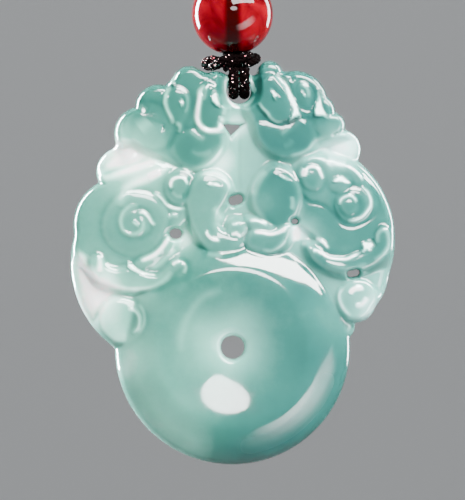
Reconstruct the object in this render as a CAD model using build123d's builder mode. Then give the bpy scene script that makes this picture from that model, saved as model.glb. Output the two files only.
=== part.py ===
from build123d import *

import os
from math import atan2, copysign, degrees, radians, sqrt, tan
from typing import NamedTuple

# A pendant of carved jade on a knotted cord, as it hangs when it is worn.
# The pendant is one stone: a donut disc under a head and two wings of
# scrolling clouds. Two cords come down from the nape, run through a round
# agate bead and end in a knot. Two strands below the knot hold the stone.
#
# Frame: the origin is the middle of the nape, where the loop rests. +X is to
# the right as the front is seen, -Y is the front and +Z is up.

os.makedirs("parts", exist_ok=True)

# Driving dimensions of the jade, in millimetres

pendant_width = 40.0  # across the two wings
jade_thickness = 7.0  # at the crest of the donut
disc_radius = 14.5
disc_crest_radius = 10.2  # where the donut is thickest
disc_rim_round = 2.4
disc_hole_radius = 1.4
disc_hole_wall = 3.6  # the donut's thickness at its hole
disc_hole_round = 0.35
bridge_height = 1.1  # the jade above the cord hole
bridge_thickness = 2.8
bridge_radius = 2.4
groove_margin = 0.4  # from the cord hole's wall to the groove's wall

# Driving dimensions of the bead, the knots and the cord

bead_radius = 5.0
bead_bore_round = 0.25
cord_diameter = 1.3
cord_gap = 0.1  # between a cord and what it passes or meets
bail_bend_radius = 0.9
knot_wrap_radius = 0.95  # the bundle that wraps the knot's core
knot_wrap_length = 7.6  # over the two arms
knot_wrap_depth = 5.4
knot_core_radius = 1.7
knot_core_rise = 0.65  # from the wrap's middle up to the core's top
knot_tilt = 6.0  # degrees, with the right arm higher
knot_shift = -0.2  # from the bead's axis to the wrap's middle
knot_clearance = 0.25  # from the bridge up to the wrap
cord_hole_shift = 0.8  # from the bead's axis to the cord hole
closing_knot_length = 7.0
closing_knot_radius = 2.1
closing_knot_round = 1.4

# The bead's place below and in front of the nape, and the straight run above it

bead_drop = 212.0
bead_reach = 132.0
bead_lead = 7.0

# Sizes that follow

cord_radius = cord_diameter / 2
strand_offset = cord_radius + cord_gap / 2  # two cords side by side
bore_radius = strand_offset + cord_radius + cord_gap
half_thickness = jade_thickness / 2
share = pendant_width / 100  # the unit of the tables below


# The clouds. Each lobe is a round coin of jade with a domed front and back
# and a rounded rim. The lengths x, z and radius are in hundredths of the
# pendant's width, from the middle of the donut's hole. The heights are shares
# of half the jade's thickness, and lift sets the lobe's middle forward.


class Lobe(NamedTuple):
    x: float
    z: float
    radius: float
    front: float
    back: float
    lift: float = 0.0


HEADS = [
    Lobe(-11.5, 73.0, 12.2, 0.82, 0.75),
    Lobe(12.5, 74.0, 11.7, 0.82, 0.75),
]
LOBES = [
    # the wings and the chest between them
    Lobe(-16.9, 26.4, 33.0, 0.62, 0.60),
    Lobe(-34.6, 37.9, 14.5, 0.64, 0.55),
    Lobe(19.2, 33.5, 31.0, 0.62, 0.60),
    Lobe(31.2, 23.4, 16.9, 0.60, 0.55),
    Lobe(0.0, 55.0, 26.2, 0.68, 0.65),
    Lobe(-33.0, 8.6, 7.2, 0.70, 0.45),
    Lobe(38.0, 13.5, 6.0, 0.62, 0.45),
    Lobe(34.0, 6.5, 3.8, 0.36, 0.36),
    # the edge of the left cloud, from the shoulder up
    Lobe(-34.5, 54.0, 7.5, 0.60, 0.50),
    Lobe(-29.0, 58.0, 8.3, 0.70, 0.55),
    Lobe(-28.2, 66.0, 8.3, 0.85, 0.65),
    Lobe(-22.8, 73.9, 7.3, 0.80, 0.65),
    Lobe(-13.3, 81.6, 5.3, 0.56, 0.50),
    Lobe(-5.0, 80.0, 5.2, 0.38, 0.38),
    # the edge of the right cloud, from the shoulder up
    Lobe(33.3, 61.0, 6.2, 0.60, 0.50),
    Lobe(25.0, 66.2, 7.5, 0.78, 0.60),
    Lobe(30.6, 68.3, 4.3, 0.46, 0.40),
    Lobe(26.5, 72.6, 5.3, 0.56, 0.50),
    Lobe(19.2, 75.2, 10.2, 0.84, 0.70),
    Lobe(11.4, 84.5, 4.0, 0.43, 0.40),
    # the two heads of the cloud and their low lobes
    *HEADS,
    Lobe(-12.1, 64.0, 8.6, 0.93, 0.65, 0.06),
    Lobe(16.2, 64.6, 8.8, 0.93, 0.65, 0.06),
    # the bumps in the heads' curls
    Lobe(-5.2, 75.5, 3.6, 0.36, 0.36, 0.72),
    Lobe(-15.5, 76.0, 3.8, 0.36, 0.36, 0.68),
    Lobe(12.2, 78.0, 4.2, 0.38, 0.38, 0.70),
    Lobe(26.0, 73.3, 4.0, 0.34, 0.34, 0.46),
    # the bodies of the wings' spirals
    Lobe(-30.0, 37.8, 11.5, 0.84, 0.45),
    Lobe(36.0, 42.8, 10.4, 0.84, 0.45),
    # the lobes beside and below the middle
    Lobe(-7.2, 48.2, 6.3, 0.65, 0.60, 0.36),
    Lobe(-7.2, 39.0, 6.0, 0.62, 0.60, 0.32),
    Lobe(13.0, 49.0, 6.6, 0.68, 0.60, 0.34),
    Lobe(13.4, 40.2, 6.0, 0.62, 0.60, 0.32),
    Lobe(-3.5, 31.5, 5.2, 0.56, 0.50, 0.46),
    Lobe(7.5, 31.5, 5.2, 0.56, 0.50, 0.46),
]

# The raised bands of the clouds. Each is a round rope of jade that starts at
# x and z, heads the given way in degrees from +X towards +Z, and follows arcs,
# a row of (radius, turn) each, where a turn below zero is clockwise.


class Scroll(NamedTuple):
    x: float
    z: float
    heading: float
    radius: float
    lift: float
    arcs: list


SCROLLS = [
    # the big spirals of the wings
    Scroll(-21.5, 41.1, 110, 2.0, 0.76, [(9.0, 160), (7.5, 90), (6.0, 90), (4.6, 90), (3.2, 150)]),
    Scroll(28.3, 45.4, 70, 1.9, 0.76, [(8.5, -160), (7.0, -90), (5.6, -90), (4.3, -90), (3.0, -150)]),
    # the low bands of the wings, each with a curl at its end
    Scroll(-43.5, 26.0, -70, 2.5, 0.68, [(9.0, 58), (28.0, 30), (12.0, 35), (2.9, -190)]),
    Scroll(21.5, 27.0, -35, 2.5, 0.68, [(12.0, 30), (30.0, 18), (12.0, 35), (8.0, 35), (3.2, 150)]),
    # the small spirals at the wings' tips
    Scroll(-38.4, 9.0, 90, 1.4, 0.66, [(5.0, -90), (4.4, -90), (3.6, -90), (2.6, -120)]),
    Scroll(33.7, 14.0, 90, 1.3, 0.58, [(4.6, -90), (4.2, -90), (3.4, -90), (2.4, -120)]),
    # the small rings above the wings
    Scroll(-19.5, 47.4, 90, 1.4, 0.62, [(2.8, -300)]),
    Scroll(21.1, 53.0, 90, 1.4, 0.62, [(3.3, -200), (2.2, -120)]),
    # the low scroll in the middle
    Scroll(-7.5, 35.0, -50, 1.6, 0.86, [(7.0, 60), (12.0, -20), (7.0, 60)]),
    # the curls of the two heads
    Scroll(-8.0, 81.5, 248, 1.6, 0.78, [(40.0, 14), (5.0, 85), (8.0, 30)]),
    Scroll(13.5, 82.5, -30, 1.6, 0.76, [(12.0, -40), (14.0, -30), (4.0, -90)]),
    Scroll(-20.5, 77.0, -98, 1.4, 0.72, [(14.0, 30), (6.0, 50)]),
    Scroll(29.5, 76.0, -80, 1.4, 0.50, [(12.0, -20), (4.0, -90)]),
]


# The small holes that pierce the clouds, in the same unit: slots with round
# ends, each turned by an angle, and one triangle under the cord hole.


class Pierced(NamedTuple):
    x: float
    z: float
    length: float
    height: float
    turn: float


PIERCED = [
    Pierced(1.0, 45.4, 4.2, 2.6, 20),
    Pierced(-17.5, 35.0, 3.4, 2.8, 0),
    Pierced(19.2, 38.8, 1.6, 1.2, 0),
    Pierced(37.2, 22.8, 3.4, 1.7, 10),
]
PIERCED_TRIANGLE = [(-2.8, 68.7), (2.6, 68.5), (-0.5, 65.5)]
CORD_HOLE_RISE = 5.4  # the cord hole's middle, above the middle of the two heads
EYE_SWELL = 1.12  # of a band's round eye, over its rope
RIM_SHARE = 0.7  # of a lobe's lower side, rounded at its rim
DOME_SHARE = 0.95  # of a lobe's radius, the highest that its dome may be


# Heights down the necklace, from the bead to the donut's middle

heads_middle = sum(head.z for head in HEADS) / len(HEADS)
cord_hole_z = (heads_middle + CORD_HOLE_RISE) * share
bridge_top = cord_hole_z + bore_radius + bridge_height
knot_z = bridge_top + knot_clearance + knot_wrap_radius
wrap_reach = knot_wrap_depth / 2 - knot_wrap_radius  # from the core out to the wrap's middle
bead_z = knot_z + sqrt((bead_radius + knot_wrap_radius + cord_gap) ** 2 - wrap_reach**2)

bead_centre = Vector(0, -bead_reach, -bead_drop)
disc_centre = bead_centre - Vector(0, 0, bead_z)
knot_centre = disc_centre + Vector(knot_shift, 0, knot_z)
cord_end = knot_centre.Z + knot_core_rise + cord_gap


def on_jade(x, z, lift=0.0):
    """A place on the stone, from the tables' unit, lifted off its middle plane."""
    return disc_centre + Vector(x * share, -lift * half_thickness, z * share)


def dome_radius(run, rise, rim_round):
    """The radius of a dome that starts level and runs out tangent to a rim's round."""
    return (run**2 + rise**2 - rim_round**2) / (2 * (rise - rim_round))


def coin_face(radius, front, back):
    """Half the section of a lobe: a front dome, a round rim and a back dome."""
    rim_round = RIM_SHARE * min(front, back)
    run = radius - rim_round
    front_dome = dome_radius(run, front, rim_round)
    back_dome = dome_radius(run, back, rim_round)
    front_angle = degrees(atan2(run, front_dome - front))
    back_angle = degrees(atan2(run, back_dome - back))
    with BuildSketch(Plane.XY) as face:
        with BuildLine():
            CenterArc((0, front_dome - front), front_dome, -90, front_angle)
            CenterArc((run, 0), rim_round, front_angle - 90, 180 - front_angle - back_angle)
            CenterArc((0, back - back_dome), back_dome, 90 - back_angle, back_angle)
            Line((0, back), (0, -front))
        make_face()
    return face.sketch


# The donut's dish: an arc that rises from the hole and runs level at the crest

dish_run = disc_crest_radius - disc_hole_radius
dish_rise = half_thickness - disc_hole_wall / 2
dish_arc = (dish_run**2 + dish_rise**2) / (2 * dish_rise)


def donut_face():
    """Half the section of the donut: it rises from its hole to a crest, then rounds off."""
    run = disc_radius - disc_rim_round - disc_crest_radius
    outer = dome_radius(run, half_thickness, disc_rim_round)
    angle = degrees(atan2(run, outer - half_thickness))
    sweep_angle = degrees(atan2(dish_run, dish_arc - dish_rise))
    with BuildSketch(Plane.XY) as face:
        with BuildLine():
            CenterArc((disc_crest_radius, dish_arc - half_thickness), dish_arc, -90 - sweep_angle, sweep_angle)
            CenterArc((disc_crest_radius, outer - half_thickness), outer, -90, angle)
            CenterArc((disc_radius - disc_rim_round, 0), disc_rim_round, angle - 90, 180 - 2 * angle)
            CenterArc((disc_crest_radius, half_thickness - outer), outer, 90 - angle, angle)
            CenterArc((disc_crest_radius, half_thickness - dish_arc), dish_arc, 90, sweep_angle)
            Line((disc_hole_radius, disc_hole_wall / 2), (0, disc_hole_wall / 2))
            Line((0, disc_hole_wall / 2), (0, -disc_hole_wall / 2))
            Line((0, -disc_hole_wall / 2), (disc_hole_radius, -disc_hole_wall / 2))
        make_face()
    return face.sketch


def donut_hole_face():
    """Half the section of the donut's hole: a straight wall with a round at either mouth."""
    mouth_radius = disc_hole_radius + disc_hole_round
    fall = sqrt(dish_arc**2 - (disc_crest_radius - mouth_radius) ** 2)
    mouth = half_thickness - dish_arc + fall  # the dish's height at the mouth
    wall = mouth - disc_hole_round
    with BuildSketch(Plane.XY) as face:
        with BuildLine():
            Polyline((mouth_radius, -mouth), (mouth_radius, -jade_thickness), (0, -jade_thickness))
            Line((0, -jade_thickness), (0, jade_thickness))
            Polyline((0, jade_thickness), (mouth_radius, jade_thickness), (mouth_radius, mouth))
            CenterArc((mouth_radius, wall), disc_hole_round, 90, 90)
            Line((disc_hole_radius, wall), (disc_hole_radius, -wall))
            CenterArc((mouth_radius, -wall), disc_hole_round, 180, 90)
        make_face()
    return face.sketch


def turned(face, spot):
    """A solid turned from a half section about the line from front to back through a spot."""
    with BuildPart() as solid:
        revolve(Pos(*spot) * face, axis=Axis(spot, (0, 1, 0)))
    return solid.part


def lobe_solid(lobe):
    """One lobe of the clouds, no higher than its radius allows."""
    radius = lobe.radius * share
    front = min(lobe.front * half_thickness, DOME_SHARE * radius)
    back = min(lobe.back * half_thickness, DOME_SHARE * radius)
    return turned(coin_face(radius, front, back), on_jade(lobe.x, lobe.z, lobe.lift))


def scroll_solid(scroll):
    """One raised band: a round rope along its arcs, with a round eye at its end."""
    level = Plane(origin=on_jade(0, 0, scroll.lift), x_dir=(1, 0, 0), z_dir=(0, -1, 0))
    place = Vector(scroll.x, scroll.z) * share
    heading = scroll.heading
    with BuildPart() as solid:
        with BuildLine(level) as path:
            for arc_radius, turn in scroll.arcs:
                start_angle = heading - copysign(90, turn)
                outward = Vector(1, 0).rotate(Axis.Z, start_angle) * arc_radius * share
                centre = place - outward
                CenterArc((centre.X, centre.Y), arc_radius * share, start_angle, turn)
                place = centre + outward.rotate(Axis.Z, turn)
                heading += turn
        with BuildSketch(Plane(origin=path.line @ 0, z_dir=path.line % 0)):
            Circle(scroll.radius * share)
        sweep()
        with Locations(path.line @ 1):
            Sphere(EYE_SWELL * scroll.radius * share)
    return solid.part


# The jade pendant: the donut, the lobes and the bands are one stone. The cord
# hole and its grooves are cut before the bands go on, the other holes after.

with BuildPart() as jade_pendant:
    bridge_spot = disc_centre + Vector(cord_hole_shift, 0, bridge_top - bridge_radius)
    bridge_depth = bridge_thickness / 2 + groove_margin  # the grooves cut it flat
    bridge = turned(coin_face(bridge_radius, bridge_depth, bridge_depth), bridge_spot)
    donut = turned(donut_face(), disc_centre)
    add([donut, bridge] + [lobe_solid(lobe) for lobe in LOBES])

    # a groove, open at the top, leads the cord over the bridge on each side
    hole_plane = Plane(
        origin=disc_centre + Vector(cord_hole_shift, 0, cord_hole_z),
        x_dir=(1, 0, 0),
        z_dir=(0, -1, 0),
    )
    groove_radius = bore_radius + groove_margin
    groove_length = pendant_width / 4  # past the top of the clouds
    for side in (1, -1):
        with BuildSketch(hole_plane.offset(side * bridge_thickness / 2)):
            Circle(groove_radius)
            Rectangle(2 * groove_radius, groove_length, align=(Align.CENTER, Align.MIN))
        extrude(amount=side * half_thickness, mode=Mode.SUBTRACT)
    with BuildSketch(hole_plane):
        Circle(bore_radius)
    extrude(amount=jade_thickness, both=True, mode=Mode.SUBTRACT)

    add([scroll_solid(scroll) for scroll in SCROLLS])

    add(turned(donut_hole_face(), disc_centre), mode=Mode.SUBTRACT)
    with BuildSketch(Plane(origin=disc_centre, x_dir=(1, 0, 0), z_dir=(0, -1, 0))):
        for hole in PIERCED:
            with Locations((hole.x * share, hole.z * share)):
                SlotOverall(hole.length * share, hole.height * share, rotation=hole.turn)
        with BuildLine():
            Polyline([(x * share, z * share) for x, z in PIERCED_TRIANGLE], close=True)
        make_face()
    extrude(amount=jade_thickness, both=True, mode=Mode.SUBTRACT)
jade_pendant.part.label = "jade_pendant"
export_step(jade_pendant.part, "parts/jade_pendant.step")

# The agate bead, drilled for the two cords

with BuildPart() as agate_bead:
    with Locations(bead_centre):
        Sphere(bead_radius)
    with BuildSketch(Plane.XY.offset(bead_centre.Z)):
        with Locations((bead_centre.X, bead_centre.Y)):
            Circle(bore_radius)
    extrude(amount=bead_radius, both=True, mode=Mode.SUBTRACT)
    fillet(agate_bead.edges().filter_by(GeomType.CIRCLE), bead_bore_round)
agate_bead.part.label = "agate_bead"
export_step(agate_bead.part, "parts/agate_bead.step")


# The knot between the bead and the stone: a core, and a wrap that lies round it
# and stands out to the left and the right

with BuildPart() as pendant_knot:
    wrap_plane = Plane(
        origin=knot_centre,
        x_dir=Vector(1, 0, 0).rotate(Axis.Y, -knot_tilt),
        z_dir=Vector(0, 0, 1).rotate(Axis.Y, -knot_tilt),
    )
    with BuildSketch(wrap_plane, mode=Mode.PRIVATE) as wrap_outline:
        SlotOverall(knot_wrap_length - 2 * knot_wrap_radius, 2 * wrap_reach)
    wrap_path = wrap_outline.sketch.face().outer_wire()
    with BuildSketch(Plane(origin=wrap_path @ 0, z_dir=wrap_path % 0)):
        Circle(knot_wrap_radius)
    sweep(path=wrap_path)
    core_x = cord_hole_shift / 2
    with Locations((core_x, knot_centre.Y, knot_centre.Z + knot_core_rise)):
        Cylinder(
            knot_core_radius,
            knot_core_rise + knot_wrap_radius,
            align=(Align.CENTER, Align.CENTER, Align.MAX),
        )
pendant_knot.part.label = "pendant_knot"
export_step(pendant_knot.part, "parts/pendant_knot.step")


# The two strands below the knot: down the front, side by side through the cord
# hole, and up the back

bail_reach = bridge_thickness / 2 + cord_gap + cord_radius
bail_low = disc_centre.Z + cord_hole_z
bail_top = knot_centre.Z - knot_wrap_radius - cord_gap


def bail_strand(side, name):
    """One strand of the bail, on the left (-1) or the right (1)."""
    x = cord_hole_shift + side * strand_offset
    y = disc_centre.Y
    with BuildPart() as strand:
        with BuildLine() as path:
            FilletPolyline(
                (x, y - bail_reach, bail_top),
                (x, y - bail_reach, bail_low),
                (x, y + bail_reach, bail_low),
                (x, y + bail_reach, bail_top),
                radius=bail_bend_radius,
            )
        with BuildSketch(Plane(origin=path.line @ 0, z_dir=path.line % 0)):
            Circle(cord_radius)
        sweep()
    strand.part.label = name
    export_step(strand.part, f"parts/{name}.step")
    return strand.part


bail_strand_left = bail_strand(-1, "bail_strand_left")
bail_strand_right = bail_strand(1, "bail_strand_right")


# The neck loop. The right cord's route, from the closing knot round the neck
# and down the chest; the left cord is its mirror image. The last two points
# lead it straight down through the bead, side by side with the other one.

CORD_ROUTE = [
    (closing_knot_length / 2 + cord_gap, 0, 0),
    (29, 0, 0),
    (54, -20, -6),
    (64, -56, -20),
    (58, -92, -50),
    (44, -116, -93),
    (26, -128, -140),
    (9, -bead_reach, -180),
    (strand_offset, -bead_reach, -(bead_drop - bead_radius - bead_lead)),
    (strand_offset, -bead_reach, cord_end),
]
RUN_SHARE = 0.45  # of the shorter run beside a corner, taken up by its arc


def corner_radii(points):
    """Each corner's radius: a share of its shorter run over the tangent of half its turn."""
    radii = []
    for before, corner, after in zip(points, points[1:], points[2:]):
        run_in = corner - before
        run_out = after - corner
        half_turn = radians(run_in.get_angle(run_out)) / 2
        radii.append(RUN_SHARE * min(run_in.length, run_out.length) / tan(half_turn))
    return radii


def neck_cord(side, name):
    """One cord of the loop, on the left (-1) or the right (1)."""
    points = [Vector(side * x, y, z) for x, y, z in CORD_ROUTE]
    radii = corner_radii(points)
    with BuildPart() as cord:
        with BuildLine() as path:
            FilletPolyline(*points, radius=radii)
        with BuildSketch(Plane(origin=path.line @ 0, z_dir=path.line % 0)):
            Circle(cord_radius)
        sweep()
    cord.part.label = name
    export_step(cord.part, f"parts/{name}.step")
    print(name, "radii", [round(radius, 1) for radius in radii])
    print(name, "length", round(path.wire().length, 1), "volume", round(cord.part.volume, 1))
    return cord.part


neck_cord_left = neck_cord(-1, "neck_cord_left")
neck_cord_right = neck_cord(1, "neck_cord_right")


# The knot that closes the loop at the nape, a plain barrel along X

with BuildPart() as closing_knot:
    with BuildSketch(Plane.YZ.offset(-closing_knot_length / 2)):
        Circle(closing_knot_radius)
    extrude(amount=closing_knot_length)
    fillet(closing_knot.edges().filter_by(GeomType.CIRCLE), closing_knot_round)
closing_knot.part.label = "closing_knot"
export_step(closing_knot.part, "parts/closing_knot.step")
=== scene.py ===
# %% [markdown]
# A carved jade pendant on a knotted cord
#
# The real object is one slab of pale green jade. Its lower half is a flat
# ring, a donut, and its upper half is carved into scrolling clouds. A round
# bead of red agate and a small knot hold it on a dark, glittering cord.
#
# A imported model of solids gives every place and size. This lesson dresses it:
# each piece below is a surface worked out as whole arrays of numbers, and each
# finish is a small net of shader nodes.

# %% The frame, its box and the plain values that the pieces share
from collections import namedtuple

import bpy
import numpy as np
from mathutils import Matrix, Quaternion, Vector


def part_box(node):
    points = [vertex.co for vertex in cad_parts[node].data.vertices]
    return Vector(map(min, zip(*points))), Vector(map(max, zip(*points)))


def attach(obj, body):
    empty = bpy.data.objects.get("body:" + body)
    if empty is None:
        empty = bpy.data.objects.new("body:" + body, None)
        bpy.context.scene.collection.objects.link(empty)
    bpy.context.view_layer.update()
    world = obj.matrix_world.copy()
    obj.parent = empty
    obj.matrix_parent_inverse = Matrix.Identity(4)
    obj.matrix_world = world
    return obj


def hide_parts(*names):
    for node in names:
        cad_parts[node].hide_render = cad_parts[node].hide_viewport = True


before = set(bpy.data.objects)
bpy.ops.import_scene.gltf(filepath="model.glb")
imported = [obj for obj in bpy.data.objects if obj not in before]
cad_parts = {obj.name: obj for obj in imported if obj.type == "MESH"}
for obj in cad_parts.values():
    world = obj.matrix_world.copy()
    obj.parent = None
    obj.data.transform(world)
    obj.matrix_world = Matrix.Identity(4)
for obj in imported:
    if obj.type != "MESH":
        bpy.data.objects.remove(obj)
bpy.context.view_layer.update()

MM = 0.001  # one millimetre in metres
SHARE = 0.4  # millimetres in one unit of the carving's tables, a hundredth of its width
HALF_THICKNESS = 3.5  # millimetres, from the middle of the jade to the donut's crest
DISC_RADIUS = 14.5  # millimetres

pendant_low, pendant_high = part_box("jade_pendant")
bead_low, bead_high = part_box("agate_bead")
bead_centre = (bead_low + bead_high) / 2
disc_centre = Vector((
    bead_centre.x,
    pendant_high.y - HALF_THICKNESS * MM,
    pendant_low.z + DISC_RADIUS * MM,
))
print("the middle of the donut in metres:", [round(value, 4) for value in disc_centre])

# %% [markdown]
# The camera and the light
#
# The photograph looks straight at the pendant from close by, and crops the
# bead at its top edge. The camera stands level with the middle of the picture.
# Polished stone shows its shape by what it mirrors, so the lights are placed
# from the highlights. A wide softbox in front, high and to the right, makes
# the bright crescent on the donut and the thin lines on all edges that face
# it. A small oval one just above the camera is mirrored in the donut's dish,
# and a dim one low at the right, with a grid that narrows its beam, makes the
# soft crescent below. Two behind the stone make its thin places glow. A last
# large lamp lights only the wall of the stage.

# %% The camera
PICTURE_HEIGHT = 61.75 * MM  # what the picture's longer side covers at the pendant
PICTURE_MIDDLE = 12.0 * MM  # the picture's middle, above the middle of the donut
CAMERA_DISTANCE = 0.36
SENSOR = 36.0  # millimetres, along the longer side

camera_data = bpy.data.cameras.new("camera")
camera_data.sensor_width = SENSOR
camera_data.lens = SENSOR * CAMERA_DISTANCE / PICTURE_HEIGHT
camera_data.clip_start = 0.01
camera = bpy.data.objects.new("camera", camera_data)
picture_middle = disc_centre + Vector((0, 0, PICTURE_MIDDLE))
camera.location = picture_middle - Vector((0, CAMERA_DISTANCE, 0))
camera.rotation_euler = Vector((0, 1, 0)).to_track_quat("-Z", "Y").to_euler()
bpy.context.scene.collection.objects.link(camera)
bpy.context.scene.camera = camera
print("lens in millimetres:", round(camera_data.lens, 1))

# %% The softboxes
# each with its direction and distance from the picture's middle, its size in
# metres, its turn in degrees, its power in watts and how wide its beam spreads
Softbox = namedtuple(
    "Softbox",
    "name direction distance width height turn power colour shape spread",
    defaults=("RECTANGLE", 180),
)
SOFTBOXES = [
    Softbox("key", (0.43, -0.61, 0.665), 0.50, 0.58, 0.20, 0, 18.0, (1.0, 0.99, 0.97)),
    Softbox("front", (0.06, -0.955, 0.26), 0.60, 0.20, 0.12, 0, 1.75, (1.0, 1.0, 1.0), "ELLIPSE"),
    Softbox("low_right", (0.62, -0.64, -0.46), 0.60, 0.70, 0.22, 40, 0.8, (0.95, 1.0, 1.0), spread=62),
    Softbox("back_left", (-0.80, 0.55, 0.25), 0.45, 0.12, 0.45, 0, 30.0, (0.90, 0.97, 1.0)),
    Softbox("back_right", (0.75, 0.60, 0.30), 0.45, 0.12, 0.45, 0, 6.0, (0.95, 0.99, 1.0)),
]

for softbox in SOFTBOXES:
    light_data = bpy.data.lights.new(softbox.name, "AREA")
    light_data.shape = softbox.shape
    light_data.size = softbox.width
    light_data.size_y = softbox.height
    light_data.energy = softbox.power
    light_data.color = softbox.colour
    light_data.spread = np.radians(softbox.spread)
    light = bpy.data.objects.new(softbox.name, light_data)
    towards = Vector(softbox.direction).normalized()
    light.location = picture_middle + towards * softbox.distance
    level = (-towards).to_track_quat("-Z", "Y")
    light.rotation_euler = (level @ Quaternion((0, 0, 1), np.radians(softbox.turn))).to_euler()
    bpy.context.scene.collection.objects.link(light)

# %% The lamp behind the pendant, turned to the wall, and the sky's even light
WASH_PLACE, WASH_DIRECTION = (0, 2.2, 1.6), (0, 3.6, -2.0)  # metres
WASH_SIZE, WASH_POWER = 1.5, 40.0
SKY_COLOUR, SKY_STRENGTH = (0.86, 0.89, 0.91, 1), 0.27

wash_data = bpy.data.lights.new("backdrop_wash", "AREA")
wash_data.size = WASH_SIZE
wash_data.energy = WASH_POWER
wash = bpy.data.objects.new("backdrop_wash", wash_data)
wash.location = WASH_PLACE
wash.rotation_euler = Vector(WASH_DIRECTION).to_track_quat("-Z", "Y").to_euler()
bpy.context.scene.collection.objects.link(wash)

world = bpy.data.worlds.new("studio")
world.use_nodes = True
sky = world.node_tree.nodes["Background"]
sky.inputs["Color"].default_value = SKY_COLOUR
sky.inputs["Strength"].default_value = SKY_STRENGTH
bpy.context.scene.world = world
print("lamps:", [softbox.name for softbox in SOFTBOXES] + [wash.name])

# %% [markdown]
# Three makers of meshes
#
# Every piece here is a grid: a sheet of points with rows and columns. One
# helper joins the points of such a grid into quads, closed along a side or
# open. The next puts points and faces into an object, and prints how much the
# piece holds, which is above zero only where its faces point outwards. The
# third turns a profile into a round piece.

# %% From arrays to objects


def grid_faces(rows, columns, close_rows=False, close_columns=False):
    """Quads between the points of a grid, numbered row by row; a closed side joins last to first."""
    row = np.arange(rows if close_rows else rows - 1)
    column = np.arange(columns if close_columns else columns - 1)
    row, column = np.meshgrid(row, column, indexing="ij")
    next_row = (row + 1) % rows
    next_column = (column + 1) % columns
    corners = (
        row * columns + column,
        row * columns + next_column,
        next_row * columns + next_column,
        next_row * columns + column,
    )
    return np.stack(corners, axis=-1).reshape(-1, 4)


def make_object(name, points, faces, material):
    """A smooth mesh object from an array of points in metres and an array of quads."""
    mesh = bpy.data.meshes.new(name)
    mesh.from_pydata(points.tolist(), [], faces.tolist())
    mesh.validate()
    mesh.shade_smooth()
    mesh.materials.append(material)
    made = bpy.data.objects.new(name, mesh)
    bpy.context.scene.collection.objects.link(made)
    a, b, c, d = (points[faces[:, corner]] - points[0] for corner in range(4))
    volume = (np.cross(b, c) * a + np.cross(c, d) * a).sum() / 6 / MM**3
    print(f"{name}: {len(points)} points, {len(faces)} faces, {volume:.1f} cubic millimetres")
    return made


def lathe(profile, centre, steps):
    """A profile of (radius, height) turned clockwise, seen from above, about a centre."""
    angle = np.linspace(0, -2 * np.pi, steps, endpoint=False)[:, None]
    radius, height = profile[:, 0], profile[:, 1]
    level = np.broadcast_to(height, (steps, len(height)))
    points = np.stack([radius * np.cos(angle), radius * np.sin(angle), level], axis=-1)
    return points.reshape(-1, 3) + np.array(centre)


# %% [markdown]
# The finishes
#
# Both stones are polished by hand, so they share one group of nodes for the
# faint unevenness of a polish: it puts out a gloss that smears a little from
# place to place, and a normal that waves. A plain gloss would look like glass.

# %% Helpers for nodes


def new_material(name):
    """A material with nodes, and its Principled shader."""
    material = bpy.data.materials.new(name)
    material.use_nodes = True
    return material, material.node_tree, material.node_tree.nodes["Principled BSDF"]


def add_node(tree, kind, **settings):
    """A node of a kind with its properties, and with the values of its input sockets by name."""
    node = tree.nodes.new(kind)
    sockets = settings.pop("sockets", {})
    for key, value in settings.items():
        setattr(node, key, value)
    for key, value in sockets.items():
        node.inputs[key].default_value = value
    return node


def object_coordinates(tree):
    """The coordinates of the object that carries the material, in metres."""
    return add_node(tree, "ShaderNodeTexCoord").outputs["Object"]


def mix_colours(tree, factor, first, second):
    """A colour that goes from the first to the second with a factor."""
    mix = add_node(tree, "ShaderNodeMix", data_type="RGBA")
    tree.links.new(factor, mix.inputs["Factor"])
    for socket, value in ((mix.inputs[6], first), (mix.inputs[7], second)):
        if isinstance(value, bpy.types.NodeSocket):
            tree.links.new(value, socket)
        else:
            socket.default_value = (*value, 1)
    return mix.outputs[2]


# %% The group of nodes for a hand polish


def polish_group():
    """Faint waves in the surface and smears in its gloss: noise at two sizes."""
    group = bpy.data.node_groups.new("hand_polish", "ShaderNodeTree")
    for name, value in (("Low", 0.05), ("High", 0.15), ("Waves", 0.1)):
        socket = group.interface.new_socket(name, in_out="INPUT", socket_type="NodeSocketFloat")
        socket.default_value = value
    group.interface.new_socket("Roughness", in_out="OUTPUT", socket_type="NodeSocketFloat")
    group.interface.new_socket("Normal", in_out="OUTPUT", socket_type="NodeSocketVector")
    entry = add_node(group, "NodeGroupInput")
    leave = add_node(group, "NodeGroupOutput")
    place = object_coordinates(group)
    smears = add_node(group, "ShaderNodeTexNoise", sockets={"Scale": 420, "Detail": 4})
    waves = add_node(group, "ShaderNodeTexNoise", sockets={"Scale": 900, "Detail": 1})
    spread = add_node(group, "ShaderNodeMapRange", sockets={"From Min": 0.35, "From Max": 0.7})
    bump = add_node(group, "ShaderNodeBump", sockets={"Distance": 0.00004})
    links = group.links
    links.new(place, smears.inputs["Vector"])
    links.new(place, waves.inputs["Vector"])
    links.new(smears.outputs["Fac"], spread.inputs["Value"])
    links.new(entry.outputs["Low"], spread.inputs["To Min"])
    links.new(entry.outputs["High"], spread.inputs["To Max"])
    links.new(entry.outputs["Waves"], bump.inputs["Strength"])
    links.new(waves.outputs["Fac"], bump.inputs["Height"])
    links.new(spread.outputs["Result"], leave.inputs["Roughness"])
    links.new(bump.outputs["Normal"], leave.inputs["Normal"])
    return group


hand_polish = polish_group()


def add_polish(tree, shader, low, high, waves):
    """The hand polish, placed in a material with its own values; gives its roughness."""
    node = add_node(tree, "ShaderNodeGroup", node_tree=hand_polish)
    for name, value in (("Low", low), ("High", high), ("Waves", waves)):
        node.inputs[name].default_value = value
    tree.links.new(node.outputs["Roughness"], shader.inputs["Roughness"])
    tree.links.new(node.outputs["Normal"], shader.inputs["Normal"])
    return node.outputs["Roughness"]


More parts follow.
